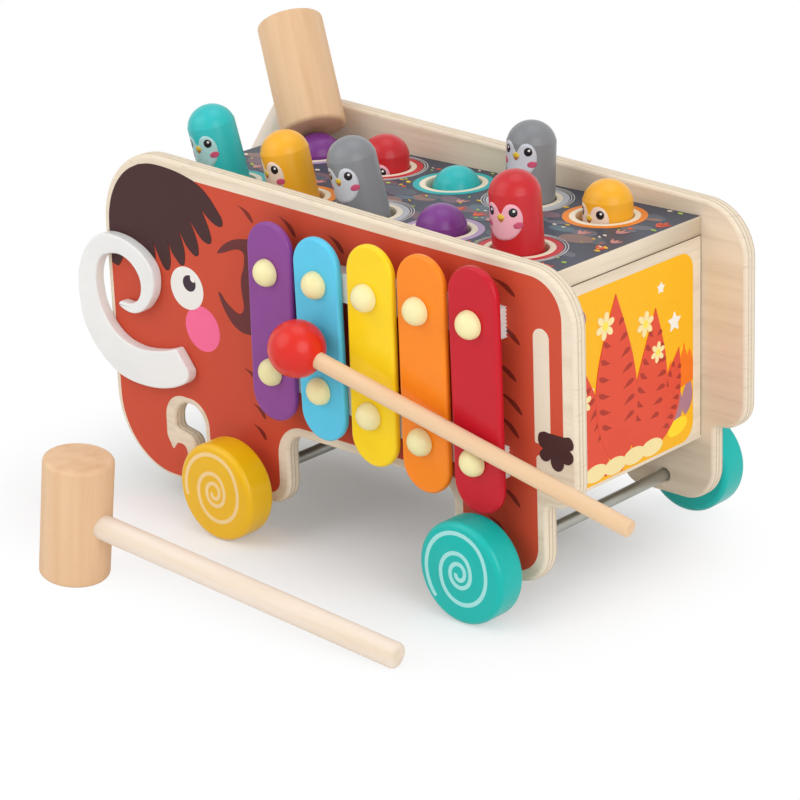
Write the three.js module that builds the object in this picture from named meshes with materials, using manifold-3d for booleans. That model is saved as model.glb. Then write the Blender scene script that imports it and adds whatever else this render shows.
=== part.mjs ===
// Wooden pounding bench in the shape of a mammoth: a five-bar xylophone on the front panel, two spinners on
// the rear panel, ten peg figures in the board between them, two hammers and a mallet.
// Lengths are millimetres. X runs from the head to the tail, Y from the bars to the spinners, Z up.
import * as THREE from "three";
import { mergeVertices } from "three/addons/utils/BufferGeometryUtils.js";
import Module from "manifold-3d";

const wasm = await Module();
wasm.setup();

// Fits between pieces.
const runningGap = 0.08;
const gluedGap = 0.05;
const looseGap = 0.3;
const cutOverrun = 2;

// Body: the two side panels.
const bodyLength = 298;
const bodyWidth = 131;
const panelThickness = 8;
const panelEdge = 2;
const headHeight = 179;
const tailHeight = 164.5;
const headCornerRadius = 40;
const tailCornerRadius = 26;

// Trunk and its slot, measured from the head edge of the panel.
const trunkClearance = 11;
const trunkCornerRadius = 39;
const trunkTipInset = 55.5;
const trunkTipHeight = 35.5;
const trunkTipRadius = 6;
const trunkHeelRadius = 8;
const slotInset = 42;
const slotWidth = 20.7;
const slotShoulderHeight = 38;
const slotShoulderRadius = 2.5;
const slotHeight = 52.6;

// Legs and the belly arch.
const frontLegWidth = 57.8;
const frontLegClearance = 14.5;
const tailLegClearance = 15.5;
const tailLegInset = 18;
const tailLegWidth = 55;
const legCornerRadius = 10;
const frontLegHeelRadius = 14;
const tailLegCornerRadius = 18;
const archHeight = 52.8;
const archCornerRadius = 9;
const rumpHeight = 56;
const rumpRadius = 14;
const rumpNotchRadius = 3;

// Board, end walls and grip sheet.
const boardTopHeight = 157.5;
const boardThickness = 9;
const boardHeadInset = 18;
const boardTailInset = 25.6;
const wallThickness = 8;
const wallHeight = 99.5;
const sheetThickness = 4;
const sheetMargin = 3;

// Peg figures.
const pegRadius = 11.75;
const pegLength = 60;
const pegDomeHeight = 8;
const pegFootRadius = 15;
const pegFootThickness = 3;
const pegHoleRadius = 13.5;
const pegPitch = 46.25;
const pegHeadMargin = 33.5;
const pegRowSpacing = 61;
const pegRowShift = 1.5;
const pegRise = 40.5;
const pegMostLean = 11.3;
const pegLeanHeading = 223;
const domeSteps = 3;

// Bars, rails and pins.
const barWidth = 28;
const barPitch = 31;
const barThickness = 4;
const barEdge = 1.2;
const barStandoff = 12.5;
const barWheelGap = 0.6;
const barHoleRadius = 4.4;
const barMostLean = 1;
const barTopHeight = 164;
const upperPinDrop = 26.2;
const lowerPinInset = 24.6;
const firstPinInset = 125.3;
const railWidth = 14;
const railInset = 1;
const railToothDepth = 3;
const pinCapRadius = 6.6;
const pinCapHeight = 6.5;
const pinShaftRadius = 2;
const pinDepth = 5;

// Tusks.
const tuskLength = 77;
const tuskHeight = 75;
const tuskOverhang = 16.5;
const tuskClearance = 58.6;
const tuskThickness = 6;
const tuskEdge = 1;

// Spinners.
const spinnerRadius = 43.5;
const spinnerThickness = 6;
const spinnerEdge = 1.5;
const spinnerCapRadius = 7;
const spinnerCapHeight = 6;
const spinnerShaftRadius = 2.5;
const washerRadius = 8;
const washerThickness = 2.5;
const twoWingTailInset = 56;
const twoWingHeight = 108;
const threeWingTailInset = 148;
const threeWingHeight = 102;

// Running gear.
const wheelRadius = 24.3;
const wheelThickness = 16.5;
const wheelRound = 3;
const wheelStandout = 25.3;
const wheelBoreDepth = 12;
const axleRadius = 2.9;
const headAxleInset = 94.4;
const tailAxleInset = 48;
const spacerRadius = 7;

// Hammers.
const hammerRadius = 16.75;
const hammerHeadLength = 60;
const hammerRound = 2;
const handleRadius = 6;
const handleReach = 186;
const handleTenon = 8;
const handleRound = 1;
const floorHammerInset = 76;
const floorHammerDistance = 96;
const floorHammerHeading = 6.2;
const leanHammerInset = 31.1;
const leanHammerPanelInset = 20.1;
const leanHammerRise = 34.5;
const leanHammerPanelRise = 13;
const leanHammerHeading = 151;
const leanHammerDrop = 36;

// Mallet.
const ballRadius = 13.5;
const stickRadius = 4;
const stickReach = 186;
const stickTenon = 5;
const malletRise = 111;
const malletStickLift = 1.7;

// Sides of turned pieces.
const axleSides = 12;
const pinSides = 10;
const pegSides = 14;
const wheelSides = 24;
const hammerSides = 20;
const handleSides = 14;
const ballSides = 14;
const arcStep = Math.PI / 12;
const bevelSteps = 1;

// Places worked out from the sizes above.
const headEdge = -bodyLength / 2;
const tailEdge = bodyLength / 2;
const panelFace = bodyWidth / 2;
const innerWidth = bodyWidth - 2 * panelThickness;
const boardHeadEnd = headEdge + boardHeadInset;
const boardTailEnd = tailEdge - boardTailInset;
const boardMiddleHeight = boardTopHeight - boardThickness / 2;
const boardUnderside = boardTopHeight - boardThickness;
const wheelInnerFace = panelFace + wheelStandout - wheelThickness;
const axleReach = wheelInnerFace + wheelBoreDepth - looseGap;
const railThickness = barStandoff - barThickness;
const barFace = panelFace + barStandoff;
const slotRadius = slotWidth / 2;
const longestBar = barTopHeight - 2 * wheelRadius - barWheelGap;

// Bars from the head to the tail: colour, length and drop of the top as shares of the longest bar, place across
// its pins as a share of the play in its holes, lean as a share of the most.
const barShares = [
  ["purple", 0.847, 0.019, 0.24, 1],
  ["blue", 0.853, 0.036, 0.1, -0.9],
  ["yellow", 0.922, 0.013, 0.85, 0.6],
  ["orange", 0.977, 0.003, 0.85, 0],
  ["red", 1, 0, 0.67, -0.6],
];

// Peg figures from the head to the tail: colour, rise as a share of the full rise, lean as a share of the most,
// sway off the middle of the hole as a share of the play in it.
const frontPegShares = [
  ["turquoise", 0.95, 1, 0],
  ["yellow", 0.81, 0.82, 0],
  ["gray", 0.915, 1, 0],
  ["purple", 0.31, 0, 0],
  ["red", 0.9, 0.25, 0],
];
const rearPegShares = [
  ["purple", 0.26, 0, 0.8],
  ["red", 0.42, 0, 0.8],
  ["turquoise", 0.21, 0, 0.8],
  ["gray", 0.94, -0.2, 0.6],
  ["yellow", 0.43, 0, 0.8],
];

// Outline of a tusk: its outer curve from the root to the tip and its inner curve back, each point a share of
// the tusk's length and of its height.
const tuskOuterShares = [
  [1, 0.183],
  [0.962, 0.105],
  [0.8, 0.032],
  [0.561, 0],
  [0.339, 0.033],
  [0.162, 0.153],
  [0.036, 0.324],
  [0, 0.553],
  [0.029, 0.745],
  [0.135, 0.911],
  [0.29, 0.997],
  [0.461, 0.989],
  [0.612, 0.929],
  [0.718, 0.812],
  [0.709, 0.657],
  [0.613, 0.532],
  [0.478, 0.489],
  [0.371, 0.531],
];
const tuskInnerShares = [
  [0.391, 0.553],
  [0.531, 0.568],
  [0.6, 0.712],
  [0.536, 0.824],
  [0.409, 0.875],
  [0.268, 0.844],
  [0.192, 0.739],
  [0.181, 0.589],
  [0.226, 0.443],
  [0.334, 0.319],
  [0.495, 0.26],
  [0.692, 0.268],
  [0.891, 0.327],
];
const tuskSteps = 2;

// Corners of one wing of a spinner: angle from the wing's middle as a share of the wing's half turn, distance
// from the pin and rounding as shares of the spinner's radius.
const twoWingShares = [
  [-0.83, 0.5, 0.3],
  [-0.5, 0.5, 0.1],
  [-0.36, 1.06, 0.15],
  [0, 1.06, 0.9],
  [0.36, 1.06, 0.15],
  [0.5, 0.5, 0.1],
  [0.83, 0.5, 0.3],
];
const threeWingShares = [
  [-1, 0.46, 0.1],
  [-0.46, 1.08, 0.18],
  [0, 1.04, 0.9],
  [0.46, 1.08, 0.18],
];
const twoWingTurn = 123;
const threeWingTurn = 90;

// Domed cap of a pin: radius and height as shares of the cap's.
const capShares = [
  [1, 0],
  [1, 0.3],
  [0.86, 0.7],
  [0.5, 0.95],
];

const colours = {
  frontPrint: 0xc64f36,
  rearPrint: 0x855488,
  boardPrint: 0x5f616c,
  headPrint: 0x38b5ac,
  tailPrint: 0xf8b623,
  foam: 0x8a8a86,
  felt: 0xe6e4df,
  tusk: 0xe9e9e7,
  cap: 0xf2e6b0,
  steel: 0x8f9186,
  beech: 0xe6be93,
  handle: 0xf2e4d0,
  stick: 0xf0cfa8,
  ball: 0xe6352b,
  washer: 0xe0c9a0,
  twoWing: 0xf9b93f,
  threeWing: 0xa6dbf7,
  purple: 0x8e4a93,
  blue: 0x5ec1e4,
  yellow: 0xf5b42a,
  orange: 0xfa8a22,
  red: 0xc8283a,
  turquoise: 0x33c4c2,
  gray: 0x87898c,
  teal: 0x00bdb9,
};

function mesh(name, geometry, colour) {
  const material = new THREE.MeshStandardMaterial({ color: colour });
  const made = new THREE.Mesh(geometry, material);
  made.name = name;
  return made;
}

// A closed geometry as a manifold-3d solid.
function solidOf(geometry) {
  const bare = geometry.clone();
  bare.deleteAttribute("normal");
  bare.deleteAttribute("uv");
  const merged = mergeVertices(bare);
  const vertProperties = merged.attributes.position.array;
  const triVerts = new Uint32Array(merged.index.array);
  return new wasm.Manifold(new wasm.Mesh({ numProp: 3, vertProperties, triVerts }));
}

function geometryOf(solid) {
  const made = solid.getMesh();
  const geometry = new THREE.BufferGeometry();
  geometry.setAttribute("position", new THREE.BufferAttribute(made.vertProperties, 3));
  geometry.setIndex(new THREE.BufferAttribute(made.triVerts, 1));
  geometry.computeVertexNormals();
  return geometry;
}

function cut(geometry, tools) {
  const left = tools.reduce((solid, tool) => solid.subtract(solidOf(tool)), solidOf(geometry));
  return geometryOf(left);
}

// Turns a profile of [radius, height] pairs about the Y axis.
function turned(profile, sides) {
  const points = profile.map(([radius, height]) => new THREE.Vector2(radius, height));
  return new THREE.LatheGeometry(points, sides);
}

function rod(radius, from, to, sides) {
  const profile = [
    [0, from],
    [radius, from],
    [radius, to],
    [0, to],
  ];
  return turned(profile, sides);
}

// The points of a closed outline whose corners [x, z, radius] are rounded by arcs.
function rounded(corners) {
  const points = [];
  const pivot = new THREE.Vector2();
  corners.forEach(([x, z, radius], i) => {
    const here = new THREE.Vector2(x, z);
    const [beforeX, beforeZ] = corners.at(i - 1);
    const [afterX, afterZ] = corners[(i + 1) % corners.length];
    const toBefore = new THREE.Vector2(beforeX, beforeZ).sub(here).normalize();
    const toAfter = new THREE.Vector2(afterX, afterZ).sub(here).normalize();
    const halfAngle = Math.acos(toBefore.dot(toAfter)) / 2;
    const turn = Math.PI - 2 * halfAngle;
    const side = Math.sign(toAfter.cross(toBefore));
    const bisector = toBefore.clone().add(toAfter).normalize();
    const centre = here.clone().addScaledVector(bisector, radius / Math.sin(halfAngle));
    const start = here.clone().addScaledVector(toBefore, radius / Math.tan(halfAngle));
    const steps = Math.max(1, Math.ceil(turn / arcStep));
    for (let k = 0; k <= steps; k += 1) {
      const spoke = start.clone().sub(centre).rotateAround(pivot, (side * turn * k) / steps);
      points.push(spoke.add(centre));
    }
  });
  return points;
}

// A plate that stands in the XZ plane, centred on Y, with rounded edges.
function plate(outline, thickness, edge) {
  const geometry = new THREE.ExtrudeGeometry(new THREE.Shape(outline), {
    depth: thickness - 2 * edge,
    bevelThickness: edge,
    bevelSize: edge,
    bevelOffset: -edge,
    bevelSegments: bevelSteps,
  });
  geometry.translate(0, 0, edge - thickness / 2);
  geometry.rotateX(Math.PI / 2);
  return geometry;
}

function block(x0, x1, y0, y1, z0, z1) {
  const geometry = new THREE.BoxGeometry(x1 - x0, y1 - y0, z1 - z0);
  geometry.translate((x0 + x1) / 2, (y0 + y1) / 2, (z0 + z1) / 2);
  return geometry;
}

function axles() {
  return [
    { name: "head", x: headEdge + headAxleInset, colour: colours.yellow },
    { name: "tail", x: tailEdge - tailAxleInset, colour: colours.teal },
  ];
}

// Each bar: the place of its pins, how far it lies off them, its ends and its lean.
function bars() {
  const play = barHoleRadius - pinShaftRadius - looseGap;
  return barShares.map(([name, length, drop, sway, lean], i) => {
    const top = barTopHeight - drop * longestBar;
    const foot = top - length * longestBar;
    return {
      name,
      x: headEdge + firstPinInset + i * barPitch,
      sway: play * sway,
      top,
      foot,
      lean: THREE.MathUtils.degToRad(barMostLean * lean),
      pins: { upper: barTopHeight - upperPinDrop, lower: foot + lowerPinInset },
    };
  });
}

function spinners() {
  return [
    {
      name: "two_wing",
      x: tailEdge - twoWingTailInset,
      z: twoWingHeight,
      wings: 2,
      shares: twoWingShares,
      turn: twoWingTurn,
      colour: colours.twoWing,
    },
    {
      name: "three_wing",
      x: tailEdge - threeWingTailInset,
      z: threeWingHeight,
      wings: 3,
      shares: threeWingShares,
      turn: threeWingTurn,
      colour: colours.threeWing,
    },
  ];
}

// Each peg figure: the middle of its hole, where its axis passes there, that axis, and how far its top stands
// out along it.
function pegs() {
  const rows = [
    { row: "front", y: pegRowShift - pegRowSpacing / 2, shares: frontPegShares },
    { row: "rear", y: pegRowShift + pegRowSpacing / 2, shares: rearPegShares },
  ];
  return rows.flatMap(({ row, y, shares }) =>
    shares.map(([colour, rise, lean, sway], i) => {
      const tilt = THREE.MathUtils.degToRad(pegMostLean * lean);
      const heading = THREE.MathUtils.degToRad(pegLeanHeading);
      const across = Math.sin(tilt);
      const axis = new THREE.Vector3(across * Math.cos(heading), across * Math.sin(heading), Math.cos(tilt));
      const hole = new THREE.Vector3(boardHeadEnd + pegHeadMargin + i * pegPitch, y, boardMiddleHeight);
      const off = new THREE.Vector3(-Math.cos(heading), -Math.sin(heading), 0);
      return {
        name: `peg_${row}_${i + 1}_${colour}`,
        colour: colours[colour],
        hole,
        seat: hole.clone().addScaledVector(off, sway * (pegHoleRadius - pegRadius)),
        axis,
        reach: (boardThickness / 2 + pegRise * rise) / Math.cos(tilt),
      };
    }),
  );
}

// Lays a geometry that was turned about Y along a peg's axis, with its zero at the middle of the board.
function alongPeg(geometry, peg) {
  const turn = new THREE.Quaternion().setFromUnitVectors(new THREE.Vector3(0, 1, 0), peg.axis);
  geometry.applyQuaternion(turn);
  geometry.translate(peg.seat.x, peg.seat.y, peg.seat.z);
  return geometry;
}

function sideOutline() {
  const slotHeadSide = headEdge + slotInset;
  const slotTailSide = slotHeadSide + slotWidth;
  const trunkTip = headEdge + trunkTipInset;
  const frontLegEnd = slotTailSide + frontLegWidth;
  const tailLegEnd = tailEdge - tailLegInset;
  const tailLegStart = tailLegEnd - tailLegWidth;
  return rounded([
    [tailEdge, tailHeight, tailCornerRadius],
    [headEdge, headHeight, headCornerRadius],
    [headEdge, trunkClearance, trunkCornerRadius],
    [trunkTip, trunkClearance, trunkHeelRadius],
    [trunkTip, trunkTipHeight, trunkTipRadius],
    [slotHeadSide, slotShoulderHeight, slotShoulderRadius],
    [slotHeadSide, slotHeight, slotRadius],
    [slotTailSide, slotHeight, slotRadius],
    [slotTailSide, frontLegClearance, legCornerRadius],
    [frontLegEnd, frontLegClearance, frontLegHeelRadius],
    [frontLegEnd, archHeight, archCornerRadius],
    [tailLegStart, archHeight, archCornerRadius],
    [tailLegStart, tailLegClearance, legCornerRadius],
    [tailLegEnd, tailLegClearance, tailLegCornerRadius],
    [tailLegEnd, rumpHeight, rumpNotchRadius],
    [tailEdge, rumpHeight, rumpRadius],
  ]);
}

// A side panel, on the front for side -1 and on the rear for side 1, with a hole for each axle and pin.
function sidePanel(name, side, pinPlaces, pinRadius, colour) {
  const geometry = plate(sideOutline(), panelThickness, panelEdge);
  geometry.translate(0, side * (panelFace - panelThickness / 2), 0);
  const tools = axles().map(({ x }) => {
    const tool = rod(axleRadius + runningGap, -bodyWidth, bodyWidth, axleSides);
    return tool.translate(x, 0, wheelRadius);
  });
  pinPlaces.forEach(([x, z]) => {
    const tool = rod(pinRadius + gluedGap, panelFace - pinDepth, panelFace + cutOverrun, pinSides);
    tools.push(tool.rotateX(side < 0 ? Math.PI : 0).translate(x, 0, z));
  });
  return mesh(name, cut(geometry, tools), colour);
}

function barPinPlaces() {
  return bars().flatMap(({ x, pins }) => [
    [x, pins.upper],
    [x, pins.lower],
  ]);
}

function topBoard() {
  const geometry = block(
    boardHeadEnd,
    boardTailEnd,
    -innerWidth / 2,
    innerWidth / 2,
    boardUnderside,
    boardTopHeight,
  );
  const tools = pegs().map(({ hole }) => {
    const tool = rod(pegHoleRadius, -boardThickness, boardThickness, pegSides);
    return tool.rotateX(Math.PI / 2).translate(hole.x, hole.y, hole.z);
  });
  return mesh("top_board", cut(geometry, tools), colours.boardPrint);
}

function gripSheet() {
  const geometry = block(
    boardHeadEnd + wallThickness + sheetMargin,
    boardTailEnd - wallThickness - sheetMargin,
    sheetMargin - innerWidth / 2,
    innerWidth / 2 - sheetMargin,
    boardUnderside - sheetThickness,
    boardUnderside,
  );
  const tools = pegs().map((peg) =>
    alongPeg(rod(pegRadius + runningGap, -pegLength, pegLength, pegSides), peg),
  );
  return mesh("peg_grip_sheet", cut(geometry, tools), colours.foam);
}

function endWall(name, x0, x1, colour) {
  const y = innerWidth / 2;
  const geometry = block(x0, x1, -y, y, boardUnderside - wallHeight, boardUnderside);
  return mesh(name, geometry, colour);
}

function pegProfile(top) {
  const foot = top - pegLength;
  const profile = [
    [0, foot],
    [pegFootRadius, foot],
    [pegFootRadius, foot + pegFootThickness],
    [pegRadius, foot + pegFootThickness],
  ];
  for (let i = 0; i < domeSteps; i += 1) {
    const angle = (Math.PI / 2) * (i / domeSteps);
    const height = top - pegDomeHeight + pegDomeHeight * Math.sin(angle);
    profile.push([pegRadius * Math.cos(angle), height]);
  }
  profile.push([0, top]);
  return profile;
}

function pegFigure(peg) {
  const geometry = alongPeg(turned(pegProfile(peg.reach), pegSides), peg);
  return mesh(peg.name, geometry, peg.colour);
}

// A felt strip with a zigzag cut at both ends, lying along the line between its two end pins.
function rail(name, from, to, pinPlaces) {
  const slope = (to.z - from.z) / (to.x - from.x);
  const start = from.x - barWidth / 2 + railInset;
  const end = to.x + barWidth / 2 - railInset;
  const heightAt = (x) => from.z + slope * (x - from.x);
  const half = railWidth / 2;
  const outline = [
    [start, -half],
    [end, -half],
    [end - railToothDepth, -half / 2],
    [end, 0],
    [end - railToothDepth, half / 2],
    [end, half],
    [start, half],
    [start + railToothDepth, half / 2],
    [start, 0],
    [start + railToothDepth, -half / 2],
  ].map(([x, rise]) => new THREE.Vector2(x, heightAt(x) + rise));
  const shape = new THREE.Shape(outline);
  const geometry = new THREE.ExtrudeGeometry(shape, { depth: railThickness, bevelEnabled: false });
  geometry.rotateX(Math.PI / 2).translate(0, -panelFace, 0);
  const tools = pinPlaces.map(([x, z]) => {
    const tool = rod(pinShaftRadius + looseGap, -barFace - cutOverrun, 0, pinSides);
    return tool.translate(x, 0, z);
  });
  return mesh(name, cut(geometry, tools), colours.felt);
}

function rails() {
  const all = bars();
  const first = all[0];
  const last = all.at(-1);
  return ["upper", "lower"].map((level) => {
    const from = { x: first.x, z: first.pins[level] };
    const to = { x: last.x, z: last.pins[level] };
    const places = all.map(({ x, pins }) => [x, pins[level]]);
    return rail(`${level}_rail`, from, to, places);
  });
}

function bar({ name, x, sway, top, foot, lean, pins }) {
  const half = barWidth / 2;
  const reach = (top - foot) / 2;
  const outline = rounded([
    [half, reach, half],
    [-half, reach, half],
    [-half, -reach, half],
    [half, -reach, half],
  ]);
  const geometry = plate(outline, barThickness, barEdge);
  const tools = Object.values(pins).map((z) =>
    rod(barHoleRadius, -barThickness, barThickness, axleSides).translate(0, 0, z - (top + foot) / 2),
  );
  const made = cut(geometry, tools).rotateY(lean);
  made.translate(x + sway, barThickness / 2 - barFace, (top + foot) / 2);
  return mesh(`bar_${name}`, made, colours[name]);
}

// A pin with a domed cap whose underside lies at height zero.
function pin(capRadius, capHeight, shaftRadius, shaftLength) {
  const profile = [
    [0, -shaftLength],
    [shaftRadius, -shaftLength],
    [shaftRadius, 0],
  ];
  capShares.forEach(([radius, height]) => profile.push([radius * capRadius, height * capHeight]));
  profile.push([0, capHeight]);
  return turned(profile, pinSides);
}

function barPin(name, x, z) {
  const geometry = pin(pinCapRadius, pinCapHeight, pinShaftRadius, barStandoff + pinDepth - looseGap);
  geometry.rotateX(Math.PI).translate(x, -barFace, z);
  return mesh(name, geometry, colours.cap);
}

function barPins() {
  return bars().flatMap(({ name, x, pins }) =>
    Object.entries(pins).map(([level, z]) => barPin(`pin_${level}_${name}`, x, z)),
  );
}

// One curve of a tusk's outline through its points.
function tuskCurve(shares) {
  const points = shares.map(
    ([along, up]) =>
      new THREE.Vector2(headEdge - tuskOverhang + along * tuskLength, tuskClearance + up * tuskHeight),
  );
  return new THREE.SplineCurve(points).getPoints(tuskSteps * (shares.length - 1));
}

function tusk(name, side) {
  const outline = [...tuskCurve(tuskOuterShares), ...tuskCurve(tuskInnerShares)].reverse();
  const geometry = plate(outline, tuskThickness, tuskEdge);
  geometry.translate(0, side * (panelFace + tuskThickness / 2), 0);
  return mesh(name, geometry, colours.tusk);
}

function spinnerOutline({ wings, shares, turn }) {
  const corners = [];
  for (let wing = 0; wing < wings; wing += 1) {
    const middle = THREE.MathUtils.degToRad(turn) + (2 * Math.PI * wing) / wings;
    shares.forEach(([swing, distance, rounding]) => {
      const angle = middle + (swing * Math.PI) / wings;
      const away = distance * spinnerRadius;
      corners.push([away * Math.cos(angle), away * Math.sin(angle), rounding * spinnerRadius]);
    });
  }
  return rounded(corners);
}

function spinnerPlate(spinner) {
  const geometry = plate(spinnerOutline(spinner), spinnerThickness, spinnerEdge);
  const bore = rod(spinnerShaftRadius + runningGap, -spinnerThickness, spinnerThickness, axleSides);
  const y = panelFace + washerThickness + looseGap + spinnerThickness / 2;
  const made = cut(geometry, [bore]).translate(spinner.x, y, spinner.z);
  return mesh(`spinner_${spinner.name}`, made, spinner.colour);
}

function spinnerPin(spinner) {
  const stack = washerThickness + spinnerThickness + 2 * looseGap;
  const profileLength = stack + pinDepth - looseGap;
  const geometry = pin(spinnerCapRadius, spinnerCapHeight, spinnerShaftRadius, profileLength);
  geometry.translate(spinner.x, panelFace + stack, spinner.z);
  return mesh(`spinner_pin_${spinner.name}`, geometry, colours.cap);
}

function ring(innerRadius, outerRadius, height, sides) {
  const profile = [
    [innerRadius, 0],
    [outerRadius, 0],
    [outerRadius, height],
    [innerRadius, height],
    [innerRadius, 0],
  ];
  return turned(profile, sides);
}

function spinnerWasher(spinner) {
  const geometry = ring(spinnerShaftRadius + looseGap, washerRadius, washerThickness, handleSides);
  geometry.translate(spinner.x, panelFace, spinner.z);
  return mesh(`spinner_washer_${spinner.name}`, geometry, colours.washer);
}

function wheelGeometry() {
  const bore = axleRadius + gluedGap;
  const soft = wheelRound * (1 - Math.SQRT1_2);
  const profile = [
    [0, wheelBoreDepth],
    [bore, wheelBoreDepth],
    [bore, 0],
    [wheelRadius - wheelRound, 0],
    [wheelRadius - soft, soft],
    [wheelRadius, wheelRound],
    [wheelRadius, wheelThickness - wheelRound],
    [wheelRadius - soft, wheelThickness - soft],
    [wheelRadius - wheelRound, wheelThickness],
    [0, wheelThickness],
  ];
  return turned(profile, wheelSides);
}

// One axle with a spacer and a wheel at each end.
function wheelSet({ name, x, colour }) {
  const made = [mesh(`axle_${name}`, rod(axleRadius, -axleReach, axleReach, axleSides), colours.steel)];
  [-1, 1].forEach((side) => {
    const place = side < 0 ? "front" : "rear";
    const turn = side < 0 ? Math.PI : 0;
    const wheel = wheelGeometry().translate(0, wheelInnerFace, 0).rotateX(turn);
    const gap = panelFace + looseGap;
    const spacer = ring(axleRadius + gluedGap, spacerRadius, wheelInnerFace - gap, axleSides);
    spacer.translate(0, gap, 0).rotateX(turn);
    made.push(mesh(`wheel_${name}_${place}`, wheel, colour));
    made.push(mesh(`spacer_${name}_${place}`, spacer, colours.washer));
  });
  made.forEach((piece) => piece.geometry.translate(x, 0, wheelRadius));
  return made;
}

// A hammer whose head stands along Z and whose handle runs along X.
function hammer(name) {
  const half = hammerHeadLength / 2;
  const soft = hammerRound * (1 - Math.SQRT1_2);
  const profile = [
    [0, -half],
    [hammerRadius - hammerRound, -half],
    [hammerRadius - soft, soft - half],
    [hammerRadius, hammerRound - half],
    [hammerRadius, half - hammerRound],
    [hammerRadius - soft, half - soft],
    [hammerRadius - hammerRound, half],
    [0, half],
  ];
  const socket = rod(handleRadius + gluedGap, -handleTenon - looseGap, handleReach, handleSides);
  const head = cut(turned(profile, hammerSides).rotateX(Math.PI / 2), [socket.rotateZ(-Math.PI / 2)]);
  const shaft = [
    [0, -handleTenon],
    [handleRadius, -handleTenon],
    [handleRadius, handleReach - handleRound],
    [handleRadius - handleRound, handleReach],
    [0, handleReach],
  ];
  const group = new THREE.Group();
  group.name = name;
  group.add(mesh(`${name}_head`, head, colours.beech));
  group.add(mesh(`${name}_handle`, turned(shaft, handleSides).rotateZ(-Math.PI / 2), colours.handle));
  return group;
}

// Turns a group so that its X axis points along one direction and its Z axis leans by another.
function pose(group, along, up, place) {
  const across = new THREE.Vector3().crossVectors(up, along).normalize();
  const upright = new THREE.Vector3().crossVectors(along, across).normalize();
  const basis = new THREE.Matrix4().makeBasis(along.clone().normalize(), across, upright);
  group.quaternion.setFromRotationMatrix(basis);
  group.position.copy(place);
  return group;
}

// The first hammer lies on the floor, on the rim of its head and the end of its handle.
function floorHammer() {
  const rim = hammerRadius - hammerRound;
  const drop = hammerHeadLength / 2 - handleRadius;
  const tilt = Math.atan(drop / (handleReach - handleRound - rim));
  const heading = THREE.MathUtils.degToRad(floorHammerHeading);
  const level = Math.cos(tilt);
  const along = new THREE.Vector3(level * Math.cos(heading), level * Math.sin(heading), -Math.sin(tilt));
  const height = rim * Math.sin(tilt) + (hammerHeadLength / 2) * level;
  const place = new THREE.Vector3(headEdge + floorHammerInset, -panelFace - floorHammerDistance, height);
  return pose(hammer("hammer_floor"), along, new THREE.Vector3(0, 0, 1), place);
}

// The second hammer leans with its head against the rear panel and its handle down past the head end wall.
function leaningHammer() {
  const heading = THREE.MathUtils.degToRad(leanHammerHeading);
  const drop = THREE.MathUtils.degToRad(leanHammerDrop);
  const level = Math.cos(drop);
  const along = new THREE.Vector3(level * Math.cos(heading), level * Math.sin(heading), -Math.sin(drop));
  const height = Math.max(boardTopHeight + leanHammerRise, headHeight + leanHammerPanelRise);
  const across = panelFace - leanHammerPanelInset;
  const place = new THREE.Vector3(headEdge + leanHammerInset, across, height);
  return pose(hammer("hammer_leaning"), along, new THREE.Vector3(0, 0, 1), place);
}

function ballProfile() {
  const profile = [[0, -ballRadius]];
  for (let i = 1; i < ballSides / 2; i += 1) {
    const angle = (2 * Math.PI * i) / ballSides;
    profile.push([ballRadius * Math.sin(angle), -ballRadius * Math.cos(angle)]);
  }
  profile.push([0, ballRadius]);
  return profile;
}

// The mallet lies with its ball against a bar and its stick on a pin cap.
function mallet() {
  const socket = rod(stickRadius + gluedGap, -stickTenon - looseGap, stickReach, handleSides);
  const ball = cut(turned(ballProfile(), ballSides), [socket]).rotateZ(-Math.PI / 2);
  const stick = rod(stickRadius, -stickTenon, stickReach, handleSides).rotateZ(-Math.PI / 2);
  const group = new THREE.Group();
  group.name = "mallet";
  group.add(mesh("mallet_ball", ball, colours.ball));
  group.add(mesh("mallet_stick", stick, colours.stick));
  const near = bars().find(({ name }) => name === "blue");
  const far = bars().at(-1);
  const place = new THREE.Vector3(near.x, -barFace - ballRadius - looseGap, malletRise);
  const edge = far.x + barWidth / 2;
  const passing = new THREE.Vector3(edge, -barFace - stickRadius - looseGap, 0);
  const rest = place.clone().lerp(passing, (far.x - near.x) / (edge - near.x));
  rest.z = far.pins.lower + pinCapRadius + stickRadius + malletStickLift;
  return pose(group, rest.sub(place), new THREE.Vector3(0, 0, 1), place);
}

const bench = new THREE.Group();
bench.name = "pounding_bench";
const allSpinners = spinners();
const spinnerPlaces = allSpinners.map(({ x, z }) => [x, z]);
bench.add(sidePanel("front_panel", -1, barPinPlaces(), pinShaftRadius, colours.frontPrint));
bench.add(sidePanel("rear_panel", 1, spinnerPlaces, spinnerShaftRadius, colours.rearPrint));
bench.add(topBoard());
bench.add(gripSheet());
bench.add(endWall("head_end_wall", boardHeadEnd, boardHeadEnd + wallThickness, colours.headPrint));
bench.add(endWall("tail_end_wall", boardTailEnd - wallThickness, boardTailEnd, colours.tailPrint));
bench.add(...rails(), ...bars().map(bar), ...barPins());
bench.add(tusk("tusk_front", -1), tusk("tusk_rear", 1));
bench.add(...allSpinners.flatMap((one) => [spinnerPlate(one), spinnerWasher(one), spinnerPin(one)]));
bench.add(...pegs().map(pegFigure));
bench.add(...axles().flatMap(wheelSet));
bench.add(floorHammer(), leaningHammer(), mallet());

// The part's origin is on the floor, under the middle of everything.
const box = new THREE.Box3().setFromObject(bench, true);
const centre = box.getCenter(new THREE.Vector3());
bench.position.set(-centre.x, -centre.y, -box.min.z);
const part = new THREE.Group();
part.name = "xylophone_pounding_bench";
part.add(bench);

export default part;
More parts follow.
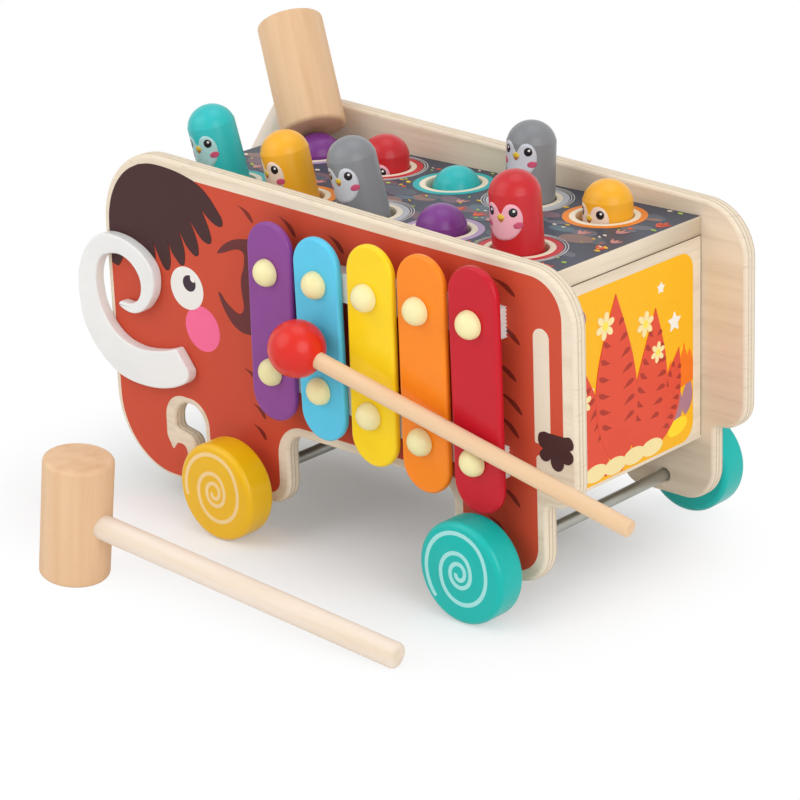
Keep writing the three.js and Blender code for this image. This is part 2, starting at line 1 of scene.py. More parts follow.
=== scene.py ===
"""Looks of a wooden pounding bench with a xylophone, two spinners, ten peg figures, two hammers and a mallet.

Lengths in the tables are millimetres in the bench's own frame: X from the middle of the body towards the
tail, Y from its middle towards the spinners, Z up from the floor."""

import math
import random

import bmesh
import bpy
from mathutils import Matrix, Vector
from mathutils.geometry import tessellate_polygon


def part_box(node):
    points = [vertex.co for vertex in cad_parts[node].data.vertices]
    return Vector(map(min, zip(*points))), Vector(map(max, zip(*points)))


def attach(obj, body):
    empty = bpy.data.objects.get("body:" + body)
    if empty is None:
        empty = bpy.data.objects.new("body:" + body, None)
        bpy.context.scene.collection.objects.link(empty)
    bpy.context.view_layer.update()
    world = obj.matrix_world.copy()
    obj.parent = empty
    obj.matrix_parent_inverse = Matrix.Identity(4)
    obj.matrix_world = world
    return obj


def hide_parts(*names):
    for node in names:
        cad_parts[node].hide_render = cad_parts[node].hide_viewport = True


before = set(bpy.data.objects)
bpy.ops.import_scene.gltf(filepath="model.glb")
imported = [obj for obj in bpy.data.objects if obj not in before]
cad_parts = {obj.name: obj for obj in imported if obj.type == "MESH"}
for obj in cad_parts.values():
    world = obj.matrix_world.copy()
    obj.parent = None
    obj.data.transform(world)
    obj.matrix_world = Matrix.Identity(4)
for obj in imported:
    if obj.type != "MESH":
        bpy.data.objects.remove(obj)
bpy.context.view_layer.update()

bl_info = {
    "name": "Pounding bench looks",
    "version": (1, 0, 0),
    "blender": (4, 5, 0),
    "location": "View3D > Sidebar > Bench",
    "description": "Builds the painted pieces of a wooden pounding bench over its solids",
    "category": "Add Mesh",
}

# The body's middle in the row frame, in metres, from the two side panels.
front_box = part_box("front_panel")
rear_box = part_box("rear_panel")
middle_x = (front_box[0].x + front_box[1].x) / 2
middle_y = (front_box[0].y + rear_box[1].y) / 2
MM = 0.001

# Body sizes.
PANEL_FACE = 65.5
PANEL_THICKNESS = 8
INNER_FACE = PANEL_FACE - PANEL_THICKNESS
BOARD_TOP = 157.5
BOARD_BOTTOM = 148.5
HALF_BOARD = (BOARD_TOP - BOARD_BOTTOM) / 2
BOARD_HEAD_END = -131
BOARD_TAIL_END = 123.4
BAR_FACE = 78
BAR_WIDTH = 28
WHEEL_RADIUS = 24.3
AXLE_PLACES = (-54.6, 101)
AXLE_RADIUS = 2.9
AXLE_BORE = 2.98
PRINT_BORE = 3.8
TUSK_THICKNESS = 6

# Domed caps: radius, height and height of the straight wall.
PIN_CAP = (6.6, 6.5, 0.6)
SPINNER_CAP = (7, 6, 1.2)

# Corners of a side panel: place along the body, height and rounding.
PANEL_CORNERS = [
    (149, 164.5, 26),
    (-149, 179, 40),
    (-149, 11, 39),
    (-93.5, 11, 8),
    (-93.5, 35.5, 6),
    (-107, 38, 2.5),
    (-107, 52.6, 10.35),
    (-86.3, 52.6, 10.35),
    (-86.3, 14.5, 10),
    (-28.5, 14.5, 14),
    (-28.5, 52.8, 9),
    (76, 52.8, 9),
    (76, 15.5, 10),
    (131, 15.5, 18),
    (131, 56, 3),
    (149, 56, 14),
]
PRINT_CORNERS = [
    (141.3, 160.5, 18),
    (107.5, 162, 5),
    (49.2, 163.6, 5),
    (-12.7, 166, 5),
    (-86, 168.6, 5),
    (-145.4, 171.8, 34),
    (-145.4, 12.8, 36),
    (-99.4, 12.8, 2.5),
    (-99.4, 30.5, 4),
    (-106, 30.5, 2),
    (-109.5, 26, 0.8),
    (-113.4, 33, 4),
    (-113, 56, 13),
    (-82.4, 56, 13),
    (-82.4, 19.8, 7),
    (-35.3, 19.8, 8),
    (-35.3, 57.8, 17),
    (82, 57.8, 9),
    (82, 21, 8),
    (125.9, 21, 14),
    (125.9, 79, 2),
    (141.3, 84, 3),
]

# Hair over the head: each run of points ends in the sharp gap where the next strand starts.
HAIR = [
    [(-145.2, 117), (-145.4, 133), (-144.6, 143.5), (-141.2, 153.4), (-136, 161), (-129.2, 166.8), (-121.5, 170.6)],
    [(-121.5, 170.6), (-113.6, 172.2), (-105.7, 172.3), (-97.1, 171.6), (-90.2, 170.4), (-83.5, 168.7)],
    [(-83.5, 168.7), (-77.8, 166), (-72.2, 161.7), (-68, 156.9), (-65.3, 153.7), (-64.5, 151.4), (-65, 149.5),
     (-67, 148.8), (-70.7, 149.7), (-74.7, 152.1), (-77.9, 154.6), (-80.7, 156.9)],
    [(-80.7, 156.9), (-78.7, 155.1), (-76.1, 150.6), (-74, 146), (-72.9, 141.3), (-73.7, 139.4), (-75.9, 138.9),
     (-79.2, 140.1), (-82.4, 143), (-84.7, 145.6), (-87.5, 148.6)],
    [(-87.5, 148.6), (-85.2, 144.6), (-83.1, 139.4), (-82.2, 134.6), (-82.9, 131.6), (-84.7, 131.1), (-87.6, 132.6),
     (-90.8, 135.5), (-93.1, 138.8), (-95.5, 142.4)],
    [(-95.5, 142.4), (-93.6, 137.5), (-92.3, 132.7), (-92.3, 128.3), (-93.3, 125), (-95.2, 124.6), (-98.1, 126.9),
     (-100.9, 129.9), (-102.7, 133.3), (-104.6, 137.4)],
    [(-104.6, 137.4), (-102.9, 132), (-102.4, 127), (-102.8, 123.2), (-104.4, 120.3), (-106.2, 120.3),
     (-108.6, 122.7), (-110.8, 126.7), (-112.7, 130.2), (-114.4, 133.7)],
    [(-114.4, 133.7), (-113.3, 128.8), (-113.3, 123.7), (-114.6, 119.7), (-116.9, 119.2), (-119.3, 122),
     (-122.5, 125.8), (-125, 130)],
    [(-125, 130), (-124.4, 125), (-125, 120), (-127.4, 117.4), (-130.6, 119.5), (-133, 123), (-135, 126)],
    [(-135, 126), (-136.6, 121.5), (-138, 119.1), (-140.6, 116), (-143.3, 116.4), (-145.2, 117)],
]
EAR = [
    [(-69.8, 135.3), (-67.4, 138.2), (-63.8, 141.1), (-58.5, 143.9), (-52.5, 145.4), (-44, 146.3), (-36, 145),
     (-29, 138), (-27, 122), (-30, 108), (-38, 100), (-50.3, 98.3), (-55.4, 98.5), (-60.3, 100.6), (-64.2, 104.2),
     (-67.3, 108.6), (-69.5, 113.2), (-70.3, 115.9)],
    [(-70.3, 115.9), (-68.4, 115.3), (-66.1, 112.6), (-62.1, 109.7), (-58, 107.7), (-55.5, 107.9), (-53.6, 110.1),
     (-53.2, 112.7), (-53.9, 116.9), (-54.4, 121.8), (-53.8, 126.9), (-51.9, 131.6), (-51.2, 136), (-51.4, 138.4),
     (-53.8, 139.8), (-58.1, 139.2), (-62.4, 137.6), (-66.8, 135.9), (-69.8, 135.3)],
]
TUFT = [
    [(141.6, 91.1), (145.1, 91.6), (147, 88.9), (146.6, 86.6), (144.9, 85.4)],
    [(144.9, 85.4), (146.7, 83.6), (146.6, 81), (144.8, 79.1), (142.8, 78.7), (141.6, 79.1)],
    [(141.6, 79.1), (141.1, 76.7), (139.6, 74.9), (137.6, 74.4), (135.4, 75.3), (134.3, 77.4), (134.1, 79.3)],
    [(134.1, 79.3), (132.2, 77.8), (130.3, 77.6), (128.3, 78.9), (128, 81), (129.9, 83.3)],
    [(129.9, 83.3), (127.9, 84.8), (127.1, 87.4), (128, 90.2), (130.6, 91.4), (133.4, 91.2), (141.6, 91.1)],
]
EYE = (-92.1, 113.5, 11.3, 10.8)
PUPIL = (-90.2, 116.3, 4.4, 4.1)
GLINT = (-87.4, 119.3, 1.9, 2)
CHEEK = (-82.8, 94.6, 11.8, 11.4)
TAIL_STRIPE = [(134.2, 85, 1), (134.2, 138.4, 4.4), (125.3, 138.4, 4.4), (125.3, 85, 1)]

# Tapered dashes on the side panels: the thin end and the thick end of each.
DASHES = [
    ((-54, 161.8), (-44.1, 154.9)),
    ((-26.8, 161.4), (-16.3, 153)),
    ((4, 158), (14, 150.6)),
    ((-55.5, 80.6), (-46, 74.4)),
    ((-50.7, 63.6), (-42.6, 57.4)),
    ((-51.5, 53.1), (-42.8, 46.5)),
    ((-66, 40), (-57, 33)),
    ((102, 156.5), (115.7, 150.2)),
    ((103, 137), (117.9, 128.5)),
    ((102, 117.8), (115.4, 111.2)),
    ((104, 105), (118.4, 96.2)),
    ((103, 94), (116.2, 84.8)),
    ((102, 76), (115, 67.5)),
    ((104, 60), (116, 52)),
    ((96, 44), (107, 36)),
    ((24, 84), (33, 77)),
    ((54, 74), (63, 67)),
    ((-6, 78), (3, 71)),
]
REAR_EXTRA_DASHES = [
    ((-112, 88), (-103, 81)),
    ((-128, 66), (-119, 59)),
    ((-70, 72), (-61, 65.5)),
    ((-40, 136), (-30, 129)),
    ((-18, 118), (-8, 111)),
    ((12, 130), (22, 123)),
    ((-30, 96), (-20, 89)),
    ((40, 144), (50, 137)),
    ((56, 112), (66, 105)),
    ((20, 100), (30, 93)),
    ((72, 136), (82, 129)),
    ((80, 92), (90, 85)),
]

# Outline of a tusk: its outer curve from the root to the tip and its inner curve back, as shares of its size.
TUSK_OUTER = [
    (1, 0.183), (0.99, 0.14), (0.962, 0.105), (0.88, 0.06), (0.8, 0.032), (0.695, 0.009), (0.561, 0), (0.443, 0.008),
    (0.339, 0.033), (0.249, 0.083), (0.162, 0.153), (0.09, 0.236), (0.036, 0.324), (0.008, 0.437), (0, 0.553),
    (0.004, 0.652), (0.029, 0.745), (0.071, 0.831), (0.135, 0.911), (0.208, 0.968), (0.29, 0.997), (0.37, 1),
    (0.461, 0.989), (0.538, 0.965), (0.612, 0.929), (0.678, 0.876), (0.718, 0.812), (0.725, 0.737), (0.709, 0.657),
    (0.67, 0.592), (0.613, 0.532), (0.544, 0.496), (0.478, 0.489), (0.413, 0.505), (0.371, 0.531),
]
TUSK_INNER = [
    (0.391, 0.553), (0.47, 0.551), (0.531, 0.568), (0.57, 0.601), (0.595, 0.653), (0.6, 0.712), (0.583, 0.767),
    (0.536, 0.824), (0.474, 0.86), (0.409, 0.875), (0.343, 0.868), (0.268, 0.844), (0.223, 0.803), (0.192, 0.739),
    (0.178, 0.667), (0.181, 0.589), (0.194, 0.515), (0.226, 0.443), (0.273, 0.375), (0.334, 0.319), (0.41, 0.28),
    (0.495, 0.26), (0.586, 0.255), (0.692, 0.268), (0.799, 0.292), (0.891, 0.327),
]
TUSK_CORNER = (-165.5, 58.6)
TUSK_SIZE = (77, 75)

# Bars and their lean in degrees.
BARS = {"purple": 1, "blue": -0.9, "yellow": 0.6, "orange": 0, "red": -0.6}
PEG_COLUMNS = [-97.5, -51.25, -5, 41.25, 87.5]
PEG_ROWS = {"front": -29, "rear": 32}
# Peg figures: row, column, colour, rise and lean as shares of the most, sway as a share of the play in the
# hole, turn of the face in degrees, and how far its eyes lie below the top.
PEGS = [
    ("front", 1, "turquoise", 0.95, 1, 0, 0, 16),
    ("front", 2, "yellow", 0.81, 0.82, 0, -16, 15.6),
    ("front", 3, "gray", 0.915, 1, 0, 0, 15.4),
    ("front", 4, "purple", 0.31, 0, 0, 0, 16),
    ("front", 5, "red", 0.9, 0.25, 0, 5.5, 16.4),
    ("rear", 1, "purple", 0.26, 0, 0.8, 0, 16),
    ("rear", 2, "red", 0.42, 0, 0.8, 4, 16),
    ("rear", 3, "turquoise", 0.21, 0, 0.8, 0, 16),
    ("rear", 4, "gray", 0.94, -0.2, 0.6, 3, 12.1),
    ("rear", 5, "yellow", 0.43, 0, 0.8, -8.5, 13.8),
]
PEG_RADIUS = 11.75
PEG_LENGTH = 60
PEG_RISE = 40.5
PEG_MOST_LEAN = 11.3
PEG_LEAN_HEADING = 223
HOLE_RADIUS = 13.5
PRINT_HOLE_RADIUS = 13.8
RING_RADIUS = 19.8
RING_BAND_RADIUS = 16.6
PEG_FOOT_RADIUS = 15
MOST_TRIES = 6000

TWO_WING = [
    (-0.83, 0.5, 0.3),
    (-0.5, 0.5, 0.1),
    (-0.36, 1.06, 0.15),
    (0, 1.06, 0.9),
    (0.36, 1.06, 0.15),
    (0.5, 0.5, 0.1),
    (0.83, 0.5, 0.3),
]
THREE_WING = [(-1, 0.46, 0.1), (-0.46, 1.08, 0.18), (0, 1.04, 0.9), (0.46, 1.08, 0.18)]
SPINNER_RADIUS = 43.5
SPINNER_THICKNESS = 6
SPINNER_BORE = 2.58
SPINNER_SHAFT = 2.5

# Radius of a wheel's spiral at each quarter turn, from the left of its face inwards.
SPIRAL = [19.4, 19.4, 15.6, 14.2, 10.9, 9.7, 6.6, 6.4, 5.3, 4.8, 3.2, 2.8, 1.8]

HAMMER_RADIUS = 16.75
HAMMER_LENGTH = 60
HANDLE_RADIUS = 6
HANDLE_REACH = 186
BALL_RADIUS = 13.5
STICK_RADIUS = 4
STICK_REACH = 186

# How far a handle and the stick go into their heads, and how their free ends are rounded: pairs that are
# taken off the radius and the reach.
HANDLE_FOOT = -8
HANDLE_END = ((0, 1.6), (0.5, 0.5), (1.4, 0))
STICK_FOOT = -5
STICK_END = ((0, 1), (0.4, 0.2), (1, 0))

# Where the loose tools lie: their place and the way their handles run.
FLOOR_HAMMER = (-73, -161.5)
FLOOR_HEADING = math.radians(6.2)
LEANING_HAMMER = (-117.9, 45.4, 192)
LEANING_HEADING = math.radians(151)
LEANING_DROP = math.radians(36)
MALLET = (7.3, -BAR_FACE - BALL_RADIUS - 0.3, 111)
MALLET_ALONG = (0.9624, 0.085, -0.258)


def linear(code):
    """The linear colour of a hex code."""
    parts = [int(code[i : i + 2], 16) / 255 for i in (0, 2, 4)]
    return tuple(p / 12.92 if p <= 0.04045 else ((p + 0.055) / 1.055) ** 2.4 for p in parts)


def colour(name, code, words):
    return bpy.props.FloatVectorProperty(
        name=name, description=words, subtype="COLOR", size=3, min=0, max=1, default=linear(code)
    )


def length(name, value, words):
    return bpy.props.FloatProperty(
        name=name, description=words, default=value * MM, unit="LENGTH", subtype="DISTANCE"
    )


class BenchPanelPaint(bpy.types.PropertyGroup):
    """Colours of the two side panels."""

    front: colour("Front", "CB4E35", "Printed ground of the front panel")
    front_dark: colour("Front dashes", "7E2D22", "Dashes on the front panel")
    front_hair: colour("Front hair", "472A2A", "Hair and tail tuft on the front panel")
    front_ear: colour("Front ear", "6A3232", "Ear on the front panel")
    rear: colour("Rear", "855488", "Printed ground of the rear panel")
    rear_dark: colour("Rear dashes", "5C2E66", "Dashes on the rear panel")
    rear_hair: colour("Rear hair", "45284F", "Hair and tail tuft on the rear panel")
    cheek: colour("Cheek", "F76D98", "Cheek on both panels")
    eye: colour("Eye", "EDEAE4", "White of the eye")
    tusk: colour("Tusk", "EDEDEB", "Paint of the tusks")


class BenchWood(bpy.types.PropertyGroup):
    """Colours of the bare wood."""

    ply: colour("Plywood", "E9DAC4", "Face of the plywood")
    ply_dark: colour("Inner plies", "BBA383", "Darker plies at an edge")
    head: colour("Hammer head", "E6C29C", "Wood of the hammer heads")
    handle: colour("Handle", "EEE1D4", "Wood of the hammer handles")
    stick: colour("Stick", "EACCAA", "Wood of the mallet stick")


class BenchPrint(bpy.types.PropertyGroup):
    """Sizes of the printed layers."""

    lift: length("Lift", 0.06, "Height of one printed layer over the one below")
    wood_edge: length("Panel rounding", 2, "Rounding of the side panels' rims")
    bar_edge: length("Bar rounding", 1.5, "Rounding of the bars' rims")
    tusk_edge: length("Tusk rounding", 1, "Rounding of the tusks' rims")


class BenchGround(bpy.types.PropertyGroup):
    """Colours of the board, the walls and the spinners."""

    board: colour("Board", "454956", "Printed ground of the board")
    head_wall: colour("Head wall", "38B5AC", "Printed ground of the head wall")
    tail_wall: colour("Tail wall", "F9B81F", "Printed ground of the tail wall")
    two_wing: colour("Two-wing spinner", "F9B93F", "Paint of the spinner with two wings")
    three_wing: colour("Three-wing spinner", "A6DBF7", "Paint of the spinner with three wings")


class BenchPaint(bpy.types.PropertyGroup):
    """Colours of the painted pieces."""

    turquoise: colour("Turquoise", "2FBFC0", "Turquoise pegs")
    yellow: colour("Yellow", "F7B228", "Yellow pegs")
    gray: colour("Gray", "85878A", "Gray pegs")
    purple: colour("Purple", "7F3A8C", "Purple pegs")
    red: colour("Red", "C9252B", "Red pegs")
    bar_purple: colour("Purple bar", "8A4692", "Paint of the shortest bar")
    bar_blue: colour("Blue bar", "5CC8EA", "Paint of the second bar")
    bar_yellow: colour("Yellow bar", "FBD51F", "Paint of the third bar")
    bar_orange: colour("Orange bar", "F98A20", "Paint of the fourth bar")
    bar_red: colour("Red bar", "C61A2A", "Paint of the longest bar")
    cap: colour("Pin cap", "F1E7AE", "Paint of the pin caps")
    ball: colour("Ball", "DD2A1E", "Paint of the mallet ball")
    wheel_head: colour("Head wheels", "F0BC0E", "Paint of the wheels near the head")
    wheel_tail: colour("Tail wheels", "00B8B0", "Paint of the wheels near the tail")


class Value:
    """A socket of a node tree, so that its maths reads as an expression."""

    def __init__(self, nodes, socket):
        self.nodes = nodes
        self.socket = socket

    def maths(self, operation, *values):
        made = self.nodes.node("ShaderNodeMath", {"operation": operation}, dict(enumerate(values)))
        return Value(self.nodes, made.outputs[0])

    def __add__(self, other):
        return self.maths("ADD", self, other)

    def __sub__(self, other):
        return self.maths("SUBTRACT", self, other)

    def __rsub__(self, other):
        return self.maths("SUBTRACT", other, self)

    def __mul__(self, other):
        return self.maths("MULTIPLY", self, other)

    __radd__ = __add__
    __rmul__ = __mul__

    def step(self, low, high):
        """Zero below low, one above high, smooth between."""
        inputs = {"Value": self, "From Min": low, "From Max": high}
        made = self.nodes.node("ShaderNodeMapRange", {"interpolation_type": "SMOOTHSTEP"}, inputs)
        return Value(self.nodes, made.outputs[0])


class Nodes:
    """Makes the nodes of one tree."""

    def __init__(self, tree):
        self.tree = tree
        self.tree.nodes.clear()

    def node(self, kind, settings=None, inputs=None):
        made = self.tree.nodes.new(kind)
        for key, value in (settings or {}).items():
            setattr(made, key, value)
        for key, value in (inputs or {}).items():
            self.feed(made.inputs[key], value)
        return made

    def feed(self, socket, value):
        if isinstance(value, Value):
            value = value.socket
        if isinstance(value, bpy.types.NodeSocket):
            self.tree.links.new(value, socket)
        else:
            socket.default_value = value

    def seen(self):
        """One for what the camera sees, straight or mirrored, and zero for light that falls on things."""
        path = self.node("ShaderNodeLightPath")
        most = Value(self, path.outputs["Is Camera Ray"])
        for ray in ("Is Glossy Ray", "Is Transmission Ray"):
            most = most.maths("MAXIMUM", most, path.outputs[ray])
        return most

    def blend(self, factor, first, second):
        """A mix of the shaders of two nodes."""
        inputs = {0: factor, 1: first.outputs[0], 2: second.outputs[0]}
        return self.node("ShaderNodeMixShader", None, inputs).outputs[0]


class Finish(Nodes):
    """One material, built node by node."""

    made = {}

    def __init__(self, name):
        self.material = bpy.data.materials.new(name)
        self.material.use_nodes = True
        super().__init__(self.material.node_tree)
        self.shader = self.node("ShaderNodeBsdfPrincipled")
        self.output = self.node("ShaderNodeOutputMaterial", None, {0: self.shader.outputs[0]})
        self.place = self.node("ShaderNodeTexCoord").outputs["Object"]
        self.shader.inputs["Specular IOR Level"].default_value = 0.16

    def axis(self, which):
        made = self.node("ShaderNodeSeparateXYZ", None, {0: self.place})
        return Value(self, made.outputs[which])

    def noise(self, scale, detail=3.0, rough=0.55):
        """Noise from zero to one; scale is the repeats per metre, alike or one each along X, Y and Z."""
        scale = scale if isinstance(scale, tuple) else (scale,) * 3
        spread = self.node("ShaderNodeMapping", None, {"Vector": self.place, "Scale": scale})
        inputs = {"Vector": spread.outputs[0], "Scale": 1.0, "Detail": detail, "Roughness": rough}
        return Value(self, self.node("ShaderNodeTexNoise", None, inputs).outputs[0])

    def mix(self, factor, first, second):
        inputs = {0: factor, 6: first, 7: second}
        made = self.node("ShaderNodeMix", {"data_type": "RGBA"}, inputs)
        return made.outputs[2]

    def set(self, **values):
        for key, value in values.items():
            self.feed(self.shader.inputs[key.replace("_", " ").title()], value)

    def bump(self, height, distance, strength=1.0):
        inputs = {"Height": height, "Distance": distance, "Strength": strength}
        self.feed(self.shader.inputs["Normal"], self.node("ShaderNodeBump", None, inputs).outputs[0])


def shade(tone, by=1.0):
    """A node colour from a linear colour, made darker or lighter."""
    return (*[min(1.0, part * by) for part in tone], 1.0)


def finish(name, maker, *details):
    """The material of that name, made once."""
    if name not in Finish.made:
        made = Finish(name)
        maker(made, *details)
        Finish.made[name] = made.material
    return Finish.made[name]


def inked(name, code):
    """Print in the colour of a hex code."""
    return finish(name, ink, linear(code))


def lacquer(made, tone, gloss=0.3, coat=0.12, grain=0.0):
    """Sprayed paint: small waves in the film, faint wood grain below it, and uneven gloss."""
    film = made.noise(260, 3)
    cloud = made.noise(18, 2)
    fibre = made.noise((14, 420, 420), 4)
    base = made.mix(cloud.step(0.3, 0.75), shade(tone), shade(tone, 0.93))
    base = made.mix(fibre.step(0.45, 0.8) * (0.1 + grain), base, shade(tone, 0.8))
    made.set(base_color=base, roughness=film * 0.12 + (gloss - 0.06), coat_weight=coat, coat_roughness=0.12)
    made.shader.inputs["Specular IOR Level"].default_value = 0.24
    made.bump(film * 0.5 + fibre * (0.15 + grain), 0.00012, 0.5)


def ink(made, tone, gloss=0.42):
    """Print on sealed plywood: the veneer's grain shows a little through an even colour."""
    fibre = made.noise((9, 300, 300), 5, 0.6)
    speck = made.noise(900, 2)
    cloud = made.noise(10, 2)
    base = made.mix(cloud.step(0.35, 0.7) * 0.6, shade(tone), shade(tone, 0.94))
    base = made.mix(fibre.step(0.5, 0.85) * 0.35, base, shade(tone, 0.84))
    made.set(base_color=base, roughness=speck * 0.14 + (gloss - 0.07))
    made.bump(fibre * 0.6 + speck * 0.2, 0.00008, 0.5)


def drawn_out(along, fine, long):
    """Noise repeats per metre that are long along one axis and fine across it."""
    return tuple(long if axis == along else fine for axis in range(3))


def veneer(made, pale, dark, along=0):
    """The bare face of plywood: long pale grain with darker streaks and pores."""
    streak = made.noise(drawn_out(along, 160, 7), 5, 0.6)
    pore = made.noise(drawn_out(along, 1500, 60), 3, 0.7)
    warm = made.noise(drawn_out(along, 22, 4), 2)
    base = made.mix(streak.step(0.42, 0.8) * 0.45, shade(pale), shade(dark))
    base = made.mix(pore.step(0.62, 0.8) * 0.3, base, shade(dark, 0.75))
    base = made.mix(warm.step(0.4, 0.8) * 0.35, base, shade(pale, 1.06))
    made.set(base_color=base, roughness=streak * 0.15 + 0.48)
    made.bump(streak * 0.5 + pore * 0.5, 0.00015, 0.5)


def plies(made, pale, dark, axis, start, thickness, layers=7):
    """The cut rim of plywood: dark and pale layers through its thickness, in metres along one axis."""
    wander = made.noise(30, 3)
    depth = (made.axis(axis) - start) * (layers / thickness)
    turn = depth + (wander * 0.5 - 0.75)
    lines = turn.maths("PINGPONG", turn, 1.0).step(0.62, 0.86)
    fibre = made.noise((120, 900, 120) if axis != 1 else (120, 120, 900), 4, 0.65)
    long_grain = made.noise(14, 4)
    base = made.mix(lines * (long_grain * 0.7 + 0.25), shade(pale), shade(dark, 0.92))
    base = made.mix(fibre.step(0.5, 0.8) * 0.35, base, shade(dark, 0.85))
    made.set(base_color=base, roughness=fibre * 0.2 + 0.5)
    made.bump(fibre * 0.5 + lines * 0.5, 0.0002, 0.5)


def beech(made, pale, dark, along):
    """Turned wood: fine flecks drawn out along the grain; along is 0, 1 or 2 for X, Y or Z."""
    grain = made.noise(drawn_out(along, 130, 8), 4, 0.5)
    fleck = made.noise(drawn_out(along, 1100, 130), 3, 0.7)
    base = made.mix(grain.step(0.3, 0.85) * 0.5, shade(pale), shade(dark))
    base = made.mix(fleck.step(0.6, 0.78) * 0.3, base, shade(dark, 0.75))
    made.set(base_color=base, roughness=grain * 0.16 + 0.42)
    made.bump(grain * 0.4 + fleck * 0.6, 0.00018, 0.5)


def felt(made, tone):
    """Pressed felt: soft fibres and small lumps."""
    fibre = made.noise(900, 4, 0.7)
    lump = made.noise(160, 3)
    base = made.mix(fibre.step(0.35, 0.75) * 0.6, shade(tone), shade(tone, 0.78))
    made.set(base_color=base, roughness=fibre * 0.1 + 0.85)
    made.shader.inputs["Sheen Weight"].default_value = 0.3
    made.bump(fibre * 0.6 + lump * 0.4, 0.0005, 0.8)


def steel(made, tone):
    """Drawn steel: bright metal with fine lengthwise scratches and a dull film."""
    line = made.noise((1400, 6, 1400), 3, 0.6)
    film = made.noise(60, 3)
    base = made.mix(film.step(0.35, 0.75) * 0.6, shade(tone), shade(tone, 0.75))
    made.set(base_color=base, roughness=line * 0.22 + 0.3, metallic=0.85)
    made.bump(line, 0.00005, 0.5)


def enamel(made, tone):
    """Smooth hard paint on steel bars: glossy, with a very faint ripple."""
    ripple = made.noise(90, 2)
    dust = made.noise(1300, 2)
    base = made.mix(ripple.step(0.3, 0.8) * 0.7, shade(tone), shade(tone, 0.94))
    made.set(base_color=base, roughness=dust * 0.08 + 0.2, coat_weight=0.12, coat_roughness=0.08)
    made.bump(ripple * 0.8 + dust * 0.2, 0.0001, 0.35)


def at(x, y, z):
    """A point of the bench frame, in metres in the row frame."""
    return Vector((middle_x + x * MM, middle_y + y * MM, z * MM))


def in_mm(corners):
    """Points of the row frame in millimetres of the bench frame."""
    return [(corner - at(0, 0, 0)) / MM for corner in corners]


def axes(u, v):
    """The turn that takes X and Y to two directions that are square to each other."""
    return Matrix((u, v, u.cross(v))).transposed().to_4x4()


def placed(origin, u, v):
    """The matrix that takes millimetres on a flat drawing, and height over it, into the row frame."""
    u = Vector(u).normalized()
    v = Vector(v).normalized()
    return Matrix.Translation(at(*origin)) @ axes(u, v) @ Matrix.Scale(MM, 4)


def laid(place, along):
    """A frame at a place, whose X runs along a direction and whose Y is level."""
    across = Vector((0, 0, 1)).cross(along).normalized()
    return Matrix.Translation(at(*place)) @ axes(along, across)


def polar(reach, angle):
    return reach * math.cos(angle), reach * math.sin(angle)


def quarter(steps):
    """Angles from zero to a quarter turn."""
    return [math.pi / 2 * k / steps for k in range(steps + 1)]


def drum(radius, low, high, soft, steps):
    """The profile of a drum with rounded rims."""
    rim = [(radius - soft + soft * math.sin(a), low + soft * (1 - math.cos(a))) for a in quarter(steps)]
    return [(0, low), *rim, *[(r, low + high - h) for r, h in reversed(rim)], (0, high)]


def rod(radius, foot, reach, end):
    """The profile of a rod with a square foot and a rounded end."""
    return [(0, foot), (radius, foot), *[(radius - a, reach - b) for a, b in end], (0, reach)]


def rounded(corners, step=math.radians(5)):
    """The points of a closed outline whose corners are rounded by arcs."""
    points = []
    for i, (x, z, radius) in enumerate(corners):
        here = Vector((x, z))
        back = (Vector(corners[i - 1][:2]) - here).normalized()
        ahead = (Vector(corners[(i + 1) % len(corners)][:2]) - here).normalized()
        half = math.acos(max(-1, min(1, back.dot(ahead)))) / 2
        side = 1 if ahead.cross(back) > 0 else -1
        centre = here + (back + ahead).normalized() * (radius / math.sin(half))
        spoke = here + back * (radius / math.tan(half)) - centre
        turn = math.pi - 2 * half
        steps = max(1, math.ceil(turn / step))
        for k in range(steps + 1):
            swing = Matrix.Rotation(side * turn * k / steps, 2)
            points.append(centre + swing @ spoke)
    return cleaned(points)


def cleaned(points):
    """The outline without points that lie on their neighbour."""
    return [p for i, p in enumerate(points) if (p - points[i - 1]).length > 0.02]


def spline(points, steps):
    """A centripetal curve through the points, of any dimension, with its ends."""
    points = [Vector(p) for p in points]
    points = [points[0] * 2 - points[1], *points, points[-1] * 2 - points[-2]]
    made = []
    spans = len(points) - 3
    for i in range(spans * steps + 1):
        k = min(i // steps, spans - 1)
        t = i / steps - k
        p0, p1, p2, p3 = points[k : k + 4]
        d0, d1, d2 = [max((b - a).length ** 0.5, 1e-6) for a, b in ((p0, p1), (p1, p2), (p2, p3))]
        m1 = ((p1 - p0) / d0 - (p2 - p0) / (d0 + d1) + (p2 - p1) / d1) * d1
        m2 = ((p2 - p1) / d1 - (p3 - p1) / (d1 + d2) + (p3 - p2) / d2) * d1
        cubic = (p1 - p2) * 2 + m1 + m2
        square = (p2 - p1) * 3 - m1 * 2 - m2
        made.append(cubic * t**3 + square * t**2 + m1 * t + p1)
    return made


def lobed(runs, steps=6):
    """A closed outline of smooth runs that meet in sharp points."""
    return cleaned([p for run in runs for p in spline(run, steps)[:-1]])


def oval(x, z, across, up, turn=0.0, count=48):
    swing = Matrix.Rotation(turn, 2)
    ring = [Vector((across * math.cos(a), up * math.sin(a))) for a in turns(count)]
    return [Vector((x, z)) + swing @ p for p in ring]


def turns(count):
    return [2 * math.pi * i / count for i in range(count)]


def circle(x, z, radius, count=48):
    return oval(x, z, radius, radius, 0.0, count)


